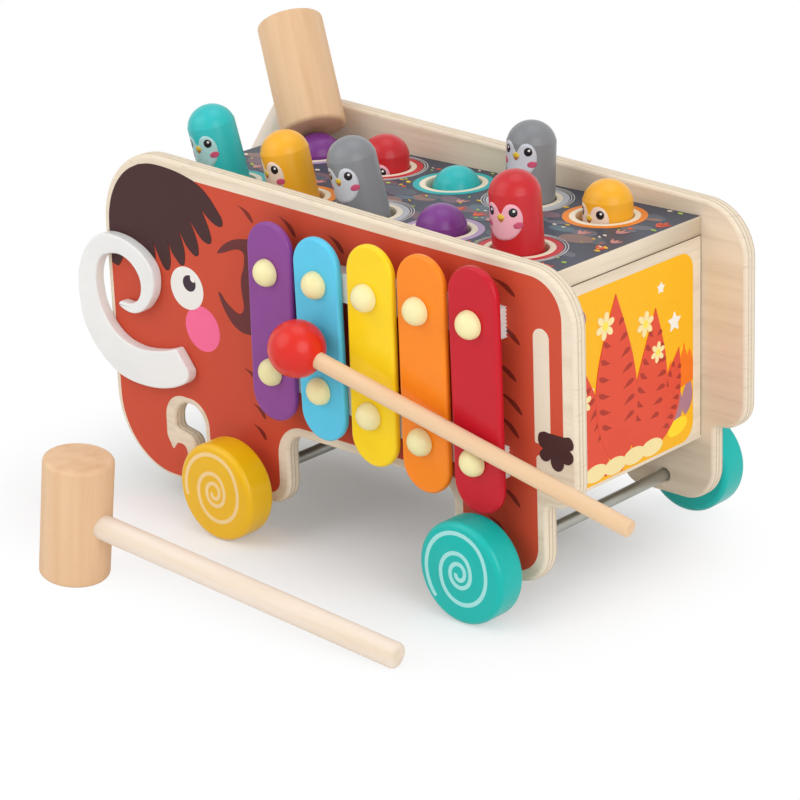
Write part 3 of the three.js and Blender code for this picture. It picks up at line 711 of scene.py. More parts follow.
def dash(start, end, width=2.6, bow=1.1):
    """A stroke that starts thin, bows to one side and ends thick and round."""
    start = Vector(start)
    along = Vector(end) - start
    side = Vector((-along.y, along.x)).normalized()
    left, right = [], []
    for i in range(13):
        t = i / 12
        middle = start + along * t + side * bow * math.sin(math.pi * t)
        half = width / 2 * math.sin(math.pi * min(1, 0.04 + 0.94 * t) ** 1.9) ** 0.75
        left.append(middle + side * half)
        right.insert(0, middle - side * half)
    return cleaned(left + right)


def leaf(x, z, reach, width, turn, bow=0.0):
    """A pointed leaf from its foot, reaching away at an angle in radians."""
    swing = Matrix.Rotation(turn, 2)
    left, right = [], []
    for i in range(17):
        t = i / 16
        half = width / 2 * math.sin(math.pi * t**0.8)
        middle = Vector((reach * t, bow * math.sin(math.pi * t)))
        left.append(Vector((x, z)) + swing @ (middle + Vector((0, half))))
        right.insert(0, Vector((x, z)) + swing @ (middle - Vector((0, half))))
    return cleaned(left + right)


def star(x, z, radius, turn=0.3):
    corners = []
    for i in range(10):
        reach = radius if i % 2 == 0 else radius * 0.5
        angle = turn + math.pi * i / 5
        corners.append((x + reach * math.cos(angle), z + reach * math.sin(angle), radius * 0.06))
    return rounded(corners)


def area(ring):
    return sum(ring[i - 1].cross(p) for i, p in enumerate(ring)) / 2


def inset(ring, distance):
    """The ring moved to its left by a distance."""
    if not distance:
        return ring
    moved = []
    for i, here in enumerate(ring):
        before = (here - ring[i - 1]).normalized()
        after = (ring[(i + 1) % len(ring)] - here).normalized()
        left = Vector((-before.y - after.y, before.x + after.x)).normalized()
        mitre = max(0.5, left.dot(Vector((-before.y, before.x))))
        moved.append(here + left * (distance / mitre))
    return moved


class Form:
    """Collects the faces of one piece, each with its finish, and makes the piece."""

    def __init__(self):
        self.mesh = bmesh.new()
        self.finishes = []

    def index(self, material):
        if material not in self.finishes:
            self.finishes.append(material)
        return self.finishes.index(material)

    def ring(self, points):
        return [self.mesh.verts.new(p) for p in points]

    def face(self, verts, index):
        made = self.mesh.faces.new(verts)
        made.material_index = index
        made.smooth = True
        return made

    def bridge(self, first, second, index):
        count = len(first)
        for i in range(count):
            after = (i + 1) % count
            self.face((first[i], first[after], second[after], second[i]), index)

    def slab(self, rings, low, high, matrix, material, edge=0.0, rim=None, steps=5):
        """A flat body with rounded rims: the first ring is its outline and the others are holes in it."""
        face_index = self.index(material)
        rim_index = self.index(rim or material)
        levels = [(low, 0.0), (high, 0.0)]
        if edge:
            below = [(low + edge * (1 - math.cos(a)), edge * (1 - math.sin(a))) for a in quarter(steps)]
            levels = below + [(high + low - w, d) for w, d in reversed(below)]
        caps = [[], []]
        for i, ring in enumerate(rings):
            turned = ring if (area(ring) > 0) == (i == 0) else ring[::-1]
            loops = []
            for w, distance in levels:
                flat = inset(turned, distance)
                loops.append(self.ring([matrix @ Vector((p.x, p.y, w)) for p in flat]))
            for a, b in zip(loops, loops[1:]):
                self.bridge(a, b, rim_index)
            for cap, loop, (w, distance) in ((caps[0], loops[0], levels[0]), (caps[1], loops[-1], levels[-1])):
                cap.append((loop, [Vector((p.x, p.y, 0)) for p in inset(turned, distance)]))
                for k, vert in enumerate(loop):
                    self.mesh.edges.get((loop[k - 1], vert)).smooth = False
        for flip, cap in enumerate(caps):
            verts = [vert for loop, _ in cap for vert in loop]
            for corners in tessellate_polygon([flat for _, flat in cap]):
                picked = [verts[c] for c in (corners if flip else corners[::-1])]
                if len(set(picked)) == 3:
                    self.face(picked, face_index)

    def decal(self, ring, matrix, layer, material, holes=()):
        """One printed shape, as a thin layer over the face."""
        lift = bpy.context.scene.bench_print.lift / MM
        self.slab([ring, *holes], -0.04, lift * layer, matrix, material)

    def lathe(self, profile, matrix, material, sides=64, crease=40):
        """Turns [radius, height] pairs about the drawing's own height."""
        index = self.index(material)
        loops = []
        for radius, height in profile:
            if radius == 0:
                loops.append(self.ring([matrix @ Vector((0, 0, height))]))
                continue
            spokes = [Vector((*polar(radius, a), height)) for a in turns(sides)]
            loops.append(self.ring([matrix @ p for p in spokes]))
        for a, b in zip(loops, loops[1:]):
            if len(a) == 1 and len(b) == 1:
                continue
            if len(a) == 1 or len(b) == 1:
                tip, loop = (a[0], b) if len(a) == 1 else (b[0], a)
                for k in range(sides):
                    self.face((tip, loop[k], loop[(k + 1) % sides]), index)
            else:
                self.bridge(a, b, index)
        for i in range(1, len(profile) - 1):
            before = Vector(profile[i]) - Vector(profile[i - 1])
            after = Vector(profile[i + 1]) - Vector(profile[i])
            if len(loops[i]) > 1 and before.length and after.length:
                if before.angle(after) > math.radians(crease):
                    for k, vert in enumerate(loops[i]):
                        self.mesh.edges.get((loops[i][k - 1], vert)).smooth = False

    def patch(self, ring, middle, wrap, material, rings=6):
        """A shape laid over a curved surface; wrap takes a flat point and a layer height to a place."""
        index = self.index(material)
        middle = Vector(middle)
        loops = [self.ring([wrap(p, -1) for p in ring])]
        for k in range(rings):
            share = 1 - k / rings
            loops.append(self.ring([wrap(middle + (p - middle) * share, 1) for p in ring]))
        for a, b in zip(loops, loops[1:]):
            self.bridge(a, b, index)
        tip = self.mesh.verts.new(wrap(middle, 1))
        last = loops[-1]
        for k, vert in enumerate(last):
            self.face((last[k - 1], vert, tip), index)

    def shown(self, name):
        """An object with the collected faces."""
        data = bpy.data.meshes.new(name)
        self.mesh.to_mesh(data)
        self.mesh.free()
        for material in self.finishes:
            data.materials.append(material)
        made = bpy.data.objects.new(name, data)
        bpy.context.scene.collection.objects.link(made)
        return made

    def make(self, name, body, nodes=(), matrix=None):
        bmesh.ops.recalc_face_normals(self.mesh, faces=self.mesh.faces)
        piece = self.shown(name)
        if matrix:
            piece.matrix_world = matrix
        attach(piece, body)
        if nodes:
            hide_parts(*nodes)
        return piece


def dress(node, material):
    """Gives a solid that keeps its shape its finish."""
    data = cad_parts[node].data
    data.materials.clear()
    data.materials.append(material)


FRONT = ((0, -PANEL_FACE, 0), (1, 0, 0), (0, 0, 1))
REAR = ((0, PANEL_FACE, 0), (-1, 0, 0), (0, 0, 1))
# Turns a lathe's millimetres so that its height runs along X.
ALONG_X = Matrix.Scale(MM, 4) @ Matrix.Rotation(math.pi / 2, 4, "Y")


def mirrored(ring, side):
    """A drawing of the front panel as it lies on the panel of that side."""
    return [Vector((-side * p.x, p.y)) for p in ring]


class BenchOperator(bpy.types.Operator):
    """Base of the bench's operators."""

    bl_options = {"REGISTER", "UNDO"}

    def execute(self, context):
        self.build(context.scene)
        return {"FINISHED"}


def hair_shapes():
    """The cap of hair down to the gaps between its strands, then each strand reaching up into the cap."""
    edge = spline(HAIR[0], 6) + spline(HAIR[1], 6)[1:]
    gaps = [Vector(run[-1]) for run in HAIR[2:-1]]
    shapes = [cleaned(edge + gaps)]
    for run in HAIR[2:]:
        strand = spline(run, 6)
        up = Vector((-2.5, 6))
        if run is HAIR[-1]:
            up = Vector((2.5, 6))
        elif run is HAIR[2]:
            up = Vector((-6, -1))
        shapes.append(cleaned([*strand, strand[-1] + up, strand[0] + up]))
    return shapes


class BENCH_OT_panels(BenchOperator):
    """Makes the two plywood side panels and what is printed on them"""

    bl_idname = "bench.panels"
    bl_label = "Side panels"

    def build(self, scene):
        wood = scene.bench_wood
        edge = scene.bench_print.wood_edge / MM
        face = finish("panel_veneer", veneer, wood.ply, wood.ply_dark)
        for side, place, word in ((-1, FRONT, "front"), (1, REAR, "rear")):
            outer = (middle_y + side * PANEL_FACE * MM, -side * PANEL_THICKNESS * MM)
            rim = finish(f"{word}_plies", plies, wood.ply, wood.ply_dark, 1, outer[0], outer[1])
            matrix = placed(*place)
            rings = [rounded(PANEL_CORNERS)]
            rings += [circle(x, WHEEL_RADIUS, AXLE_BORE, 32) for x in AXLE_PLACES]
            form = Form()
            flat = [mirrored(ring, side) for ring in rings]
            form.slab(flat, -PANEL_THICKNESS, 0, matrix, face, edge, rim)
            form.make(f"{word}_side_panel", "bench", [f"{word}_panel"])
            self.artwork(scene, side, matrix, word)

    def artwork(self, scene, side, matrix, word):
        paint = scene.bench_panel_paint
        ground, dark, hair, ear = (
            (paint.front, paint.front_dark, paint.front_hair, paint.front_ear)
            if side < 0
            else (paint.rear, paint.rear_dark, paint.rear_hair, paint.rear_hair)
        )
        hair = finish(f"{word}_hair", ink, hair)
        stripe = finish("bare_stripe", ink, scene.bench_wood.ply)
        form = Form()

        def put(ring, layer, material, holes=()):
            bores = [mirrored(hole, side) for hole in holes]
            form.decal(mirrored(ring, side), matrix, layer, material, bores)

        bores = [circle(x, WHEEL_RADIUS, PRINT_BORE) for x in AXLE_PLACES]
        put(rounded(PRINT_CORNERS), 1, finish(f"{word}_ground", ink, ground), bores)
        strokes = DASHES if side < 0 else DASHES + REAR_EXTRA_DASHES
        for start, end in strokes:
            put(dash(start, end), 2, finish(f"{word}_dash", ink, dark))
        for i, ring in enumerate(hair_shapes()):
            put(ring, 3 + i * 0.4, hair)
        put(lobed(EAR), 3, finish(f"{word}_ear", ink, ear))
        put(oval(*EYE), 3, finish("eye_white", ink, paint.eye))
        put(oval(*PUPIL), 4, inked("eye_dark", "41303A"))
        put(oval(*GLINT), 5, finish("eye_white", ink, paint.eye))
        put(oval(*CHEEK, math.radians(-20)), 2, finish("cheek_pink", ink, paint.cheek))
        put(rounded(TAIL_STRIPE), 2, stripe)
        put(lobed(TUFT), 4, hair)
        form.make(f"{word}_artwork", "bench")


class BENCH_OT_board(BenchOperator):
    """Makes the top board with its ten holes and its print, and finishes the foam below it"""

    bl_idname = "bench.board"
    bl_label = "Top board"

    ring_paint = {
        "turquoise": "2FAFB2",
        "yellow": "E9862B",
        "gray": "B9BCC1",
        "purple": "B79CC0",
        "red": "C8343A",
    }

    def build(self, scene):
        wood = scene.bench_wood
        face = finish("board_veneer", veneer, wood.ply, wood.ply_dark, 1)
        matrix = placed((0, 0, BOARD_TOP), (1, 0, 0), (0, 1, 0))
        holes = [circle(PEG_COLUMNS[c - 1], PEG_ROWS[row], HOLE_RADIUS) for row, c, *_ in PEGS]
        form = Form()
        form.slab([self.outline(), *holes], BOARD_BOTTOM - BOARD_TOP, 0, matrix, face, 0.4, None, 2)
        form.make("play_board", "bench", ["top_board"])
        self.artwork(scene, matrix)
        dress("peg_grip_sheet", finish("grip_foam", felt, linear("6E6E6C")))

    def outline(self, margin=0):
        """The rim of the board, drawn in from its two ends."""
        tail, head, y = BOARD_TAIL_END - margin, BOARD_HEAD_END + margin, INNER_FACE
        return rounded([(tail, -y, 0.2), (tail, y, 0.2), (head, y, 0.2), (head, -y, 0.2)])

    def artwork(self, scene, matrix):
        form = Form()
        tones = {name: inked(f"ring_{name}", code) for name, code in self.ring_paint.items()}
        cream = inked("ring_cream", "EFE3CB")
        centres = [(PEG_COLUMNS[c - 1], PEG_ROWS[row], tone) for row, c, tone, *_ in PEGS]
        holes = [circle(px, py, PRINT_HOLE_RADIUS) for px, py, _ in centres]
        ground = finish("board_ground", ink, scene.bench_ground.board)
        form.decal(self.outline(0.4), matrix, 1, ground, holes)
        for px, py, tone in centres:
            gap = circle(px, py, PRINT_HOLE_RADIUS)
            form.decal(circle(px, py, RING_RADIUS, 64), matrix, 3, tones[tone], [gap])
            form.decal(circle(px, py, RING_BAND_RADIUS, 64), matrix, 4, cream, [gap])
        self.motifs(form, matrix, centres)
        form.make("board_artwork", "bench")

    def motifs(self, form, matrix, centres):
        """Pebbles, grass and small dots, some of them half under the rings."""
        dice = random.Random(11)

        def tones(name, *codes):
            return [inked(f"{name}_{i}", code) for i, code in enumerate(codes)]

        pebble = tones("pebble", "686771", "775E68", "5C6D78", "8A6F66", "56606A")
        bright = tones("speck", "F2C53D", "A9C65A", "EADFC9", "E4633C")
        blade = tones("grass", "D9573A", "C98A86")
        line = tones("thin_line", "C9C6C4")[0]

        def scatter(count, reach, keep, put):
            """Puts a number of motifs that keep clear of the board's rims and of each ring's middle."""
            tries = 0
            while count and tries < MOST_TRIES:
                tries += 1
                px, py = dice.uniform(-128, 120), dice.uniform(-INNER_FACE, INNER_FACE)
                along = BOARD_HEAD_END + reach < px < BOARD_TAIL_END - reach
                if not along or abs(py) >= INNER_FACE - reach:
                    continue
                if all(math.hypot(px - cx, py - cy) > keep + reach for cx, cy, _ in centres):
                    put(px, py, count)
                    count -= 1

        def stone(px, py, i):
            wide = dice.uniform(4, 9)
            ring = oval(px, py, wide, wide * dice.uniform(0.45, 0.65), dice.uniform(-0.5, 0.5))
            form.decal(ring, matrix, 1.5 + i * 0.02, dice.choice(pebble))

        def tuft(px, py, i):
            tone = dice.choice(blade)
            for k, turn in enumerate((58, 90, 122)):
                reach = dice.uniform(4.5, 7.5)
                form.decal(leaf(px, py - 3, reach, 1.7, math.radians(turn)), matrix, 4.4 + k * 0.1, tone)

        def speck(px, py, i):
            wide = dice.uniform(0.6, 1.6)
            ring = oval(px, py, wide, wide * dice.uniform(0.3, 0.7), dice.uniform(-0.6, 0.6), 20)
            form.decal(ring, matrix, 5 + i * 0.01, dice.choice(bright))

        scatter(64, 9.2, 14.2, stone)
        scatter(22, 5, 20.5, tuft)
        scatter(150, 1.8, 20.2, speck)
        for px, py, tone in centres:
            if tone in ("gray", "red"):
                for i, radius in enumerate((20.9, 22.2)):
                    outer, gap = circle(px, py, radius, 64), circle(px, py, radius - 0.45, 64)
                    form.decal(outer, matrix, 6, line, [gap])


class BENCH_OT_walls(BenchOperator):
    """Finishes the two end walls and prints plain plants on them"""

    bl_idname = "bench.walls"
    bl_label = "End walls"

    def build(self, scene):
        wood = scene.bench_wood
        for node in ("head_end_wall", "tail_end_wall"):
            dress(node, finish("wall_veneer", veneer, wood.ply, wood.ply_dark, 1))
        self.tail(scene.bench_ground.tail_wall)
        self.head(scene.bench_ground.head_wall)

    def field(self, form, matrix, tone, name):
        outline = rounded([(51.2, 50.6, 9), (51.2, 143, 9), (-52.2, 143, 9), (-52.2, 50.6, 9)])
        form.decal(outline, matrix, 1, finish(name, ink, tone))

    def tail(self, tone):
        matrix = placed((BOARD_TAIL_END, 0, 0), (0, 1, 0), (0, 0, 1))
        form = Form()
        self.field(form, matrix, tone, "tail_wall_ground")
        lilac = inked("wall_lilac", "AE7E8C")
        orange = inked("wall_orange", "F57A1F")
        light = inked("wall_light", "FFDA2B")
        white = inked("wall_white", "F3EEE2")
        red = inked("wall_red", "E2523A")
        dark = inked("wall_dark_red", "B03B2E")
        cream = inked("wall_cream", "F7E3A6")
        yellow = inked("wall_pale_yellow", "FBE35E")
        for i, (x, z, across, up) in enumerate(((-39, 131, 12, 7.5), (-42, 110, 9, 10), (-37, 104, 8, 6))):
            form.decal(oval(x, z, across, up), matrix, 2 + i * 0.2, lilac)
        for x, z, radius in ((27, 131, 3.4), (37, 112, 5.4), (-24, 96, 2.6), (-46, 84, 3)):
            form.decal(star(x, z, radius), matrix, 2, white)
        tongues = ((28, 80, 12), (33, 81, 17), (38, 82, 14), (43, 84, 20), (47.5, 86, 14))
        for i, (x, z, reach) in enumerate(tongues):
            form.decal(leaf(x, z - 4, reach, 6.4, math.radians(86)), matrix, 2 + i * 0.2, orange)
        form.decal(rounded([(50.9, 80, 1), (50.9, 90, 1), (25, 79, 2), (25, 76, 1)]), matrix, 3.2, orange)
        for i, (x, z, reach, turn) in enumerate(((33, 61, 17, 104), (39, 61, 21, 90), (45, 64, 19, 80))):
            form.decal(leaf(x, z, reach, 8, math.radians(turn)), matrix, 2 + i * 0.2, lilac)
        form.decal(oval(39, 60, 7.5, 4, math.radians(12)), matrix, 3.4, light)
        for x, z in ((26, 70), (44, 96), (-34, 72)):
            form.decal(oval(x, z, 2, 2.4), matrix, 2, light)
        blades = (
            (-24, 53, 50, 19, 124, 4),
            (16, 53, 52, 18, 62, -4),
            (-14, 52, 70, 24, 108, 5),
            (8, 52, 72, 24, 78, -4),
            (-3, 51, 86, 30, 92, 2),
        )
        for k, (x, z, reach, width, turn, bow) in enumerate(blades):
            swing = Matrix.Rotation(math.radians(turn), 2)
            layer = 4 + k
            form.decal(leaf(x, z, reach, width, math.radians(turn), bow), matrix, layer, red)
            for i in range(3, 10):
                t = i / 11
                for side in (-1, 1):
                    half = width / 2 * math.sin(math.pi * t**0.8)
                    middle = bow * math.sin(math.pi * t)
                    inner_end = swing @ Vector((reach * t, middle + side * half * 0.3))
                    outer_end = swing @ Vector((reach * (t + 0.035), middle + side * half * 0.86))
                    base = Vector((x, z))
                    form.decal(dash(base + inner_end, base + outer_end, 2.6, 0.4), matrix, layer + 0.5, dark)
        for x, z, size in ((-14, 124, 6.5), (15, 117, 6), (-30, 92, 5.5), (24, 101, 5)):
            for i in range(6):
                angle = i * math.pi / 3 + 0.3
                reach = size * 0.62
                petal = oval(x + reach * math.cos(angle), z + reach * math.sin(angle), size * 0.4, size * 0.26, angle)
                form.decal(petal, matrix, 9.6 + i * 0.1, cream)
            form.decal(circle(x, z, size * 0.32), matrix, 10.6, yellow)
        for i, (x, z) in enumerate(((-22, 56), (-8, 55.5), (6, 56), (19, 56))):
            form.decal(oval(x, z, 8, 4), matrix, 10 + i * 0.2, cream)
        # Thin dark strips along the top and both sides of the tail wall: painted shade in the narrow gaps where the
        # wall meets the board and the side panels.
        gap_shade = inked("glue_line", "6B5A49")
        reach = INNER_FACE - 0.1
        for low, high in (
            ((-reach, 148.25), (reach, 148.7)),
            ((reach - 0.4, 50), (reach, 148)),
            ((-reach, 50), (0.4 - reach, 148)),
        ):
            ring = [Vector(p) for p in (low, (high[0], low[1]), high, (low[0], high[1]))]
            form.decal(ring, matrix, 0.6, gap_shade)
        form.make("tail_wall_artwork", "bench")

    def head(self, tone):
        matrix = placed((BOARD_HEAD_END, 0, 0), (0, -1, 0), (0, 0, 1))
        form = Form()
        self.field(form, matrix, tone, "head_wall_ground")
        deep = inked("wall_deep_teal", "1F8A86")
        pale = inked("wall_pale_teal", "9ADBD2")
        lime = inked("wall_lime", "C7D85A")
        cream = inked("wall_cream", "F7E3A6")
        blades = (
            (-30, 54, 42, 16, 128),
            (30, 54, 42, 16, 52),
            (-14, 54, 60, 20, 116),
            (14, 54, 60, 20, 64),
            (0, 54, 78, 22, 90),
        )
        for k, (x, z, reach, width, turn) in enumerate(blades):
            angle = math.radians(turn)
            form.decal(leaf(x, z, reach, width, angle), matrix, 2 + k, deep)
            form.decal(leaf(x, z, reach * 0.86, width * 0.14, angle), matrix, 2.5 + k, pale)
        for x, z, size in ((-38, 122, 5), (36, 126, 4), (-22, 134, 3), (40, 100, 3), (-44, 96, 3)):
            form.decal(circle(x, z, size), matrix, 2, lime)
            form.decal(circle(x, z, size * 0.5), matrix, 3, cream)
        form.make("head_wall_artwork", "bench")


class BENCH_OT_bars(BenchOperator):
    """Makes the five bars, their pins and the two felt rails"""

    bl_idname = "bench.bars"
    bl_label = "Bars, pins and rails"

    def build(self, scene):
        self.rails()
        edge = scene.bench_print.bar_edge / MM
        cap = finish("pin_cap", lacquer, scene.bench_paint.cap, 0.34, 0.2)
        for tone, degrees in BARS.items():
            low, high = in_mm(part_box(f"bar_{tone}"))
            lean = math.radians(degrees)
            half = BAR_WIDTH / 2
            reach = ((high.z - low.z) / 2 - half) / math.cos(lean) + half
            corners = [(half, reach, half), (-half, reach, half), (-half, -reach, half), (half, -reach, half)]
            paint = finish(f"bar_{tone}", enamel, getattr(scene.bench_paint, f"bar_{tone}"))
            up = (math.sin(lean), 0, math.cos(lean))
            matrix = placed(((low.x + high.x) / 2, low.y, (low.z + high.z) / 2), (up[2], 0, -up[0]), up)
            form = Form()
            form.slab([rounded(corners)], low.y - high.y, 0, matrix, paint, edge)
            form.make(f"{tone}_bar", "bench", [f"bar_{tone}"])
            for level in ("upper", "lower"):
                low_pin, high_pin = in_mm(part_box(f"pin_{level}_{tone}"))
                place = ((low_pin.x + high_pin.x) / 2, -BAR_FACE, (low_pin.z + high_pin.z) / 2)
                form = Form()
                form.lathe([(0, 0), (2, 0), *domed(*PIN_CAP)], placed(place, (1, 0, 0), (0, 0, 1)), cap, 48)
                form.make(f"{level}_pin_{tone}", "bench", [f"pin_{level}_{tone}"])

    def rails(self):
        """The two felt strips below the bars, pinked at both ends."""
        names = list(BARS)
        for level in ("upper", "lower"):
            ends = []
            for tone in (names[0], names[-1]):
                low, high = in_mm(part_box(f"pin_{level}_{tone}"))
                ends.append(Vector(((low.x + high.x) / 2, (low.z + high.z) / 2)))
            slope = (ends[1].y - ends[0].y) / (ends[1].x - ends[0].x)
            start, end = ends[0].x - BAR_WIDTH / 2 + 1.4, ends[1].x + BAR_WIDTH / 2 - 3.4
            ring = []
            for i in range(17):
                ring.append((end - 0.9 * (i % 2), -7 + 14 * i / 16))
            for i in range(17):
                ring.append((start + 0.9 * (i % 2), 7 - 14 * i / 16))
            ring = [Vector((x, ends[0].y + slope * (x - ends[0].x) + rise)) for x, rise in ring]
            low, high = [(corner.y - middle_y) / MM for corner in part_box(f"{level}_rail")]
            form = Form()
            matrix = placed((0, high, 0), (1, 0, 0), (0, 0, 1))
            form.slab([ring], 0, high - low, matrix, finish("rail_felt", felt, linear("E4E2DC")))
            form.make(f"{level}_felt_strip", "bench", [f"{level}_rail"])


def domed(radius, height, wall, steps=9):
    """The profile of a domed cap: a short wall, then an arc to the middle."""
    made = [(radius - 0.35, 0), (radius, 0.35), (radius, wall)]
    made += [(radius * math.cos(a), wall + (height - wall) * math.sin(a)) for a in quarter(steps)[1:-1]]
    return [*made, (0, height)]


class BENCH_OT_tusks(BenchOperator):
    """Makes the two curled tusks"""

    bl_idname = "bench.tusks"
    bl_label = "Tusks"

    def build(self, scene):
        paint = finish("tusk_paint", lacquer, scene.bench_panel_paint.tusk, 0.4, 0.1)
        edge = scene.bench_print.tusk_edge / MM
        (x, z), (wide, tall) = TUSK_CORNER, TUSK_SIZE
        outer, inner = [
            spline([(x + a * wide, z + b * tall) for a, b in shares], 3) for shares in (TUSK_OUTER, TUSK_INNER)
        ]
        tip = (outer[-1], inner[0])
        root = (inner[-1], outer[0])
        outer = trimmed(outer, 3.4, 1.2)
        inner = trimmed(inner, 1.2, 3)
        low, high = root[0].lerp(root[1], 0.22), root[0].lerp(root[1], 0.75)
        ring = [*outer, *bend(outer[-1], *tip, inner[0]), *inner]
        ring += [*bend(inner[-1], root[0], root[0], low), *bend(high, root[1], root[1], outer[0])]
        ring = cleaned(ring)
        for side, place, word in ((-1, FRONT, "front"), (1, REAR, "rear")):
            form = Form()
            form.slab([mirrored(ring, side)], 0, TUSK_THICKNESS, placed(*place), paint, edge)
            form.make(f"{word}_tusk", "bench", [f"tusk_{word}"])


def trimmed(line, start, end):
    """The line without a stretch at its start and at its end."""
    for cut in (start, end):
        while (line[1] - line[0]).length < cut:
            cut -= (line[1] - line[0]).length
            line = line[1:]
        line = [line[0].lerp(line[1], cut / (line[1] - line[0]).length), *line[1:]][::-1]
    return line


def bend(start, first, second, end, steps=8):
    """The points of a curve that leaves its start towards one corner and comes to its end from another."""
    made = []
    for k in range(steps + 1):
        t = k / steps
        made.append(start * (1 - t) ** 3 + first * 3 * t * (1 - t) ** 2 + second * 3 * t**2 * (1 - t) + end * t**3)
    return made


class BENCH_OT_spinners(BenchOperator):
    """Makes the two spinners with their prints, caps and washers"""

    bl_idname = "bench.spinners"
    bl_label = "Spinners"

    def build(self, scene):
        ground = scene.bench_ground
        wood = scene.bench_wood
        cap = finish("pin_cap", lacquer, scene.bench_paint.cap, 0.34, 0.2)
        for word, wings, shares, turn, tone in (
            ("two_wing", 2, TWO_WING, 123, ground.two_wing),
            ("three_wing", 3, THREE_WING, 90, ground.three_wing),
        ):
            low, high = in_mm(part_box(f"spinner_pin_{word}"))
            x, z = (low.x + high.x) / 2, (low.z + high.z) / 2
            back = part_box(f"spinner_{word}")[0].y / MM - middle_y / MM
            matrix = placed((x, back, z), (-1, 0, 0), (0, 0, 1))
            middles = [math.pi - math.radians(turn) + 2 * math.pi * w / wings for w in range(wings)]
            corners = []
            for middle in middles:
                for swing, away, soft in shares:
                    angle = middle + swing * math.pi / wings
                    reach = away * SPINNER_RADIUS
                    corners.append((*polar(reach, angle), soft * SPINNER_RADIUS))
            depth = (back * MM + middle_y, SPINNER_THICKNESS * MM)
            rim = finish(f"{word}_plies", plies, wood.ply, wood.ply_dark, 1, *depth, 5)
            face = finish(f"{word}_ground", ink, tone)
            form = Form()
            bore = circle(0, 0, SPINNER_BORE, 32)
            form.slab([rounded(corners), bore], 0, SPINNER_THICKNESS, matrix, face, 1.5, rim)
            self.artwork(form, matrix @ Matrix.Translation((0, 0, SPINNER_THICKNESS)), word, middles)
            form.make(f"{word}_plate", f"spinner_{word}", [f"spinner_{word}"])
            form = Form()
            place = placed((x, high.y - SPINNER_CAP[1], z), (-1, 0, 0), (0, 0, 1))
            foot = SPINNER_CAP[1] - (high.y - low.y)
            profile = [(0, foot), (SPINNER_SHAFT, foot), (SPINNER_SHAFT, 0), *domed(*SPINNER_CAP)]
            form.lathe(profile, place, cap, 48)
            form.make(f"{word}_pin", "bench", [f"spinner_pin_{word}"])
            dress(f"spinner_washer_{word}", finish("washer_wood", beech, linear("E0C9A0"), linear("C6A679"), 1))

    def artwork(self, form, matrix, word, middles):
        if word == "two_wing":
            gap = [circle(0, 0, 9)]
            form.decal(circle(0, 0, 17.5, 64), matrix, 1, inked("spinner_red", "E2471F"), gap)
            form.decal(circle(0, 0, 13.2, 64), matrix, 2, inked("spinner_orange", "F58A1F"), gap)
            dots = inked("spinner_dots", "E7832A")
            pale = inked("spinner_pale", "FCE08A")
            for middle in middles:
                for reach, swing in ((25, -0.3), (25, 0.3), (30, 0), (35, -0.22), (35, 0.22), (39.5, 0)):
                    angle = middle + swing
                    form.decal(circle(*polar(reach, angle), 1.6, 20), matrix, 1, dots)
                for swing in (-0.42, 0.42):
                    angle = middle + swing
                    ray = leaf(*polar(21, angle), 20, 2.4, middle + swing * 0.5)
                    form.decal(ray, matrix, 1, pale)
            return
        teal = inked("spinner_teal", "12B0AE")
        lime = inked("spinner_lime", "C7D85A")
        for middle in middles:
            form.decal(leaf(*polar(12, middle), 29, 19, middle), matrix, 1, teal)
            for swing, reach in ((0, 20), (-0.3, 17), (0.3, 17)):
                angle = middle + swing
                form.decal(leaf(*polar(18, angle), reach, 2.6, angle), matrix, 2, lime)
        form.decal(circle(0, 0, 14, 64), matrix, 3, teal, [circle(0, 0, 9)])
        form.decal(circle(0, 0, 11.4, 64), matrix, 4, lime, [circle(0, 0, 9)])


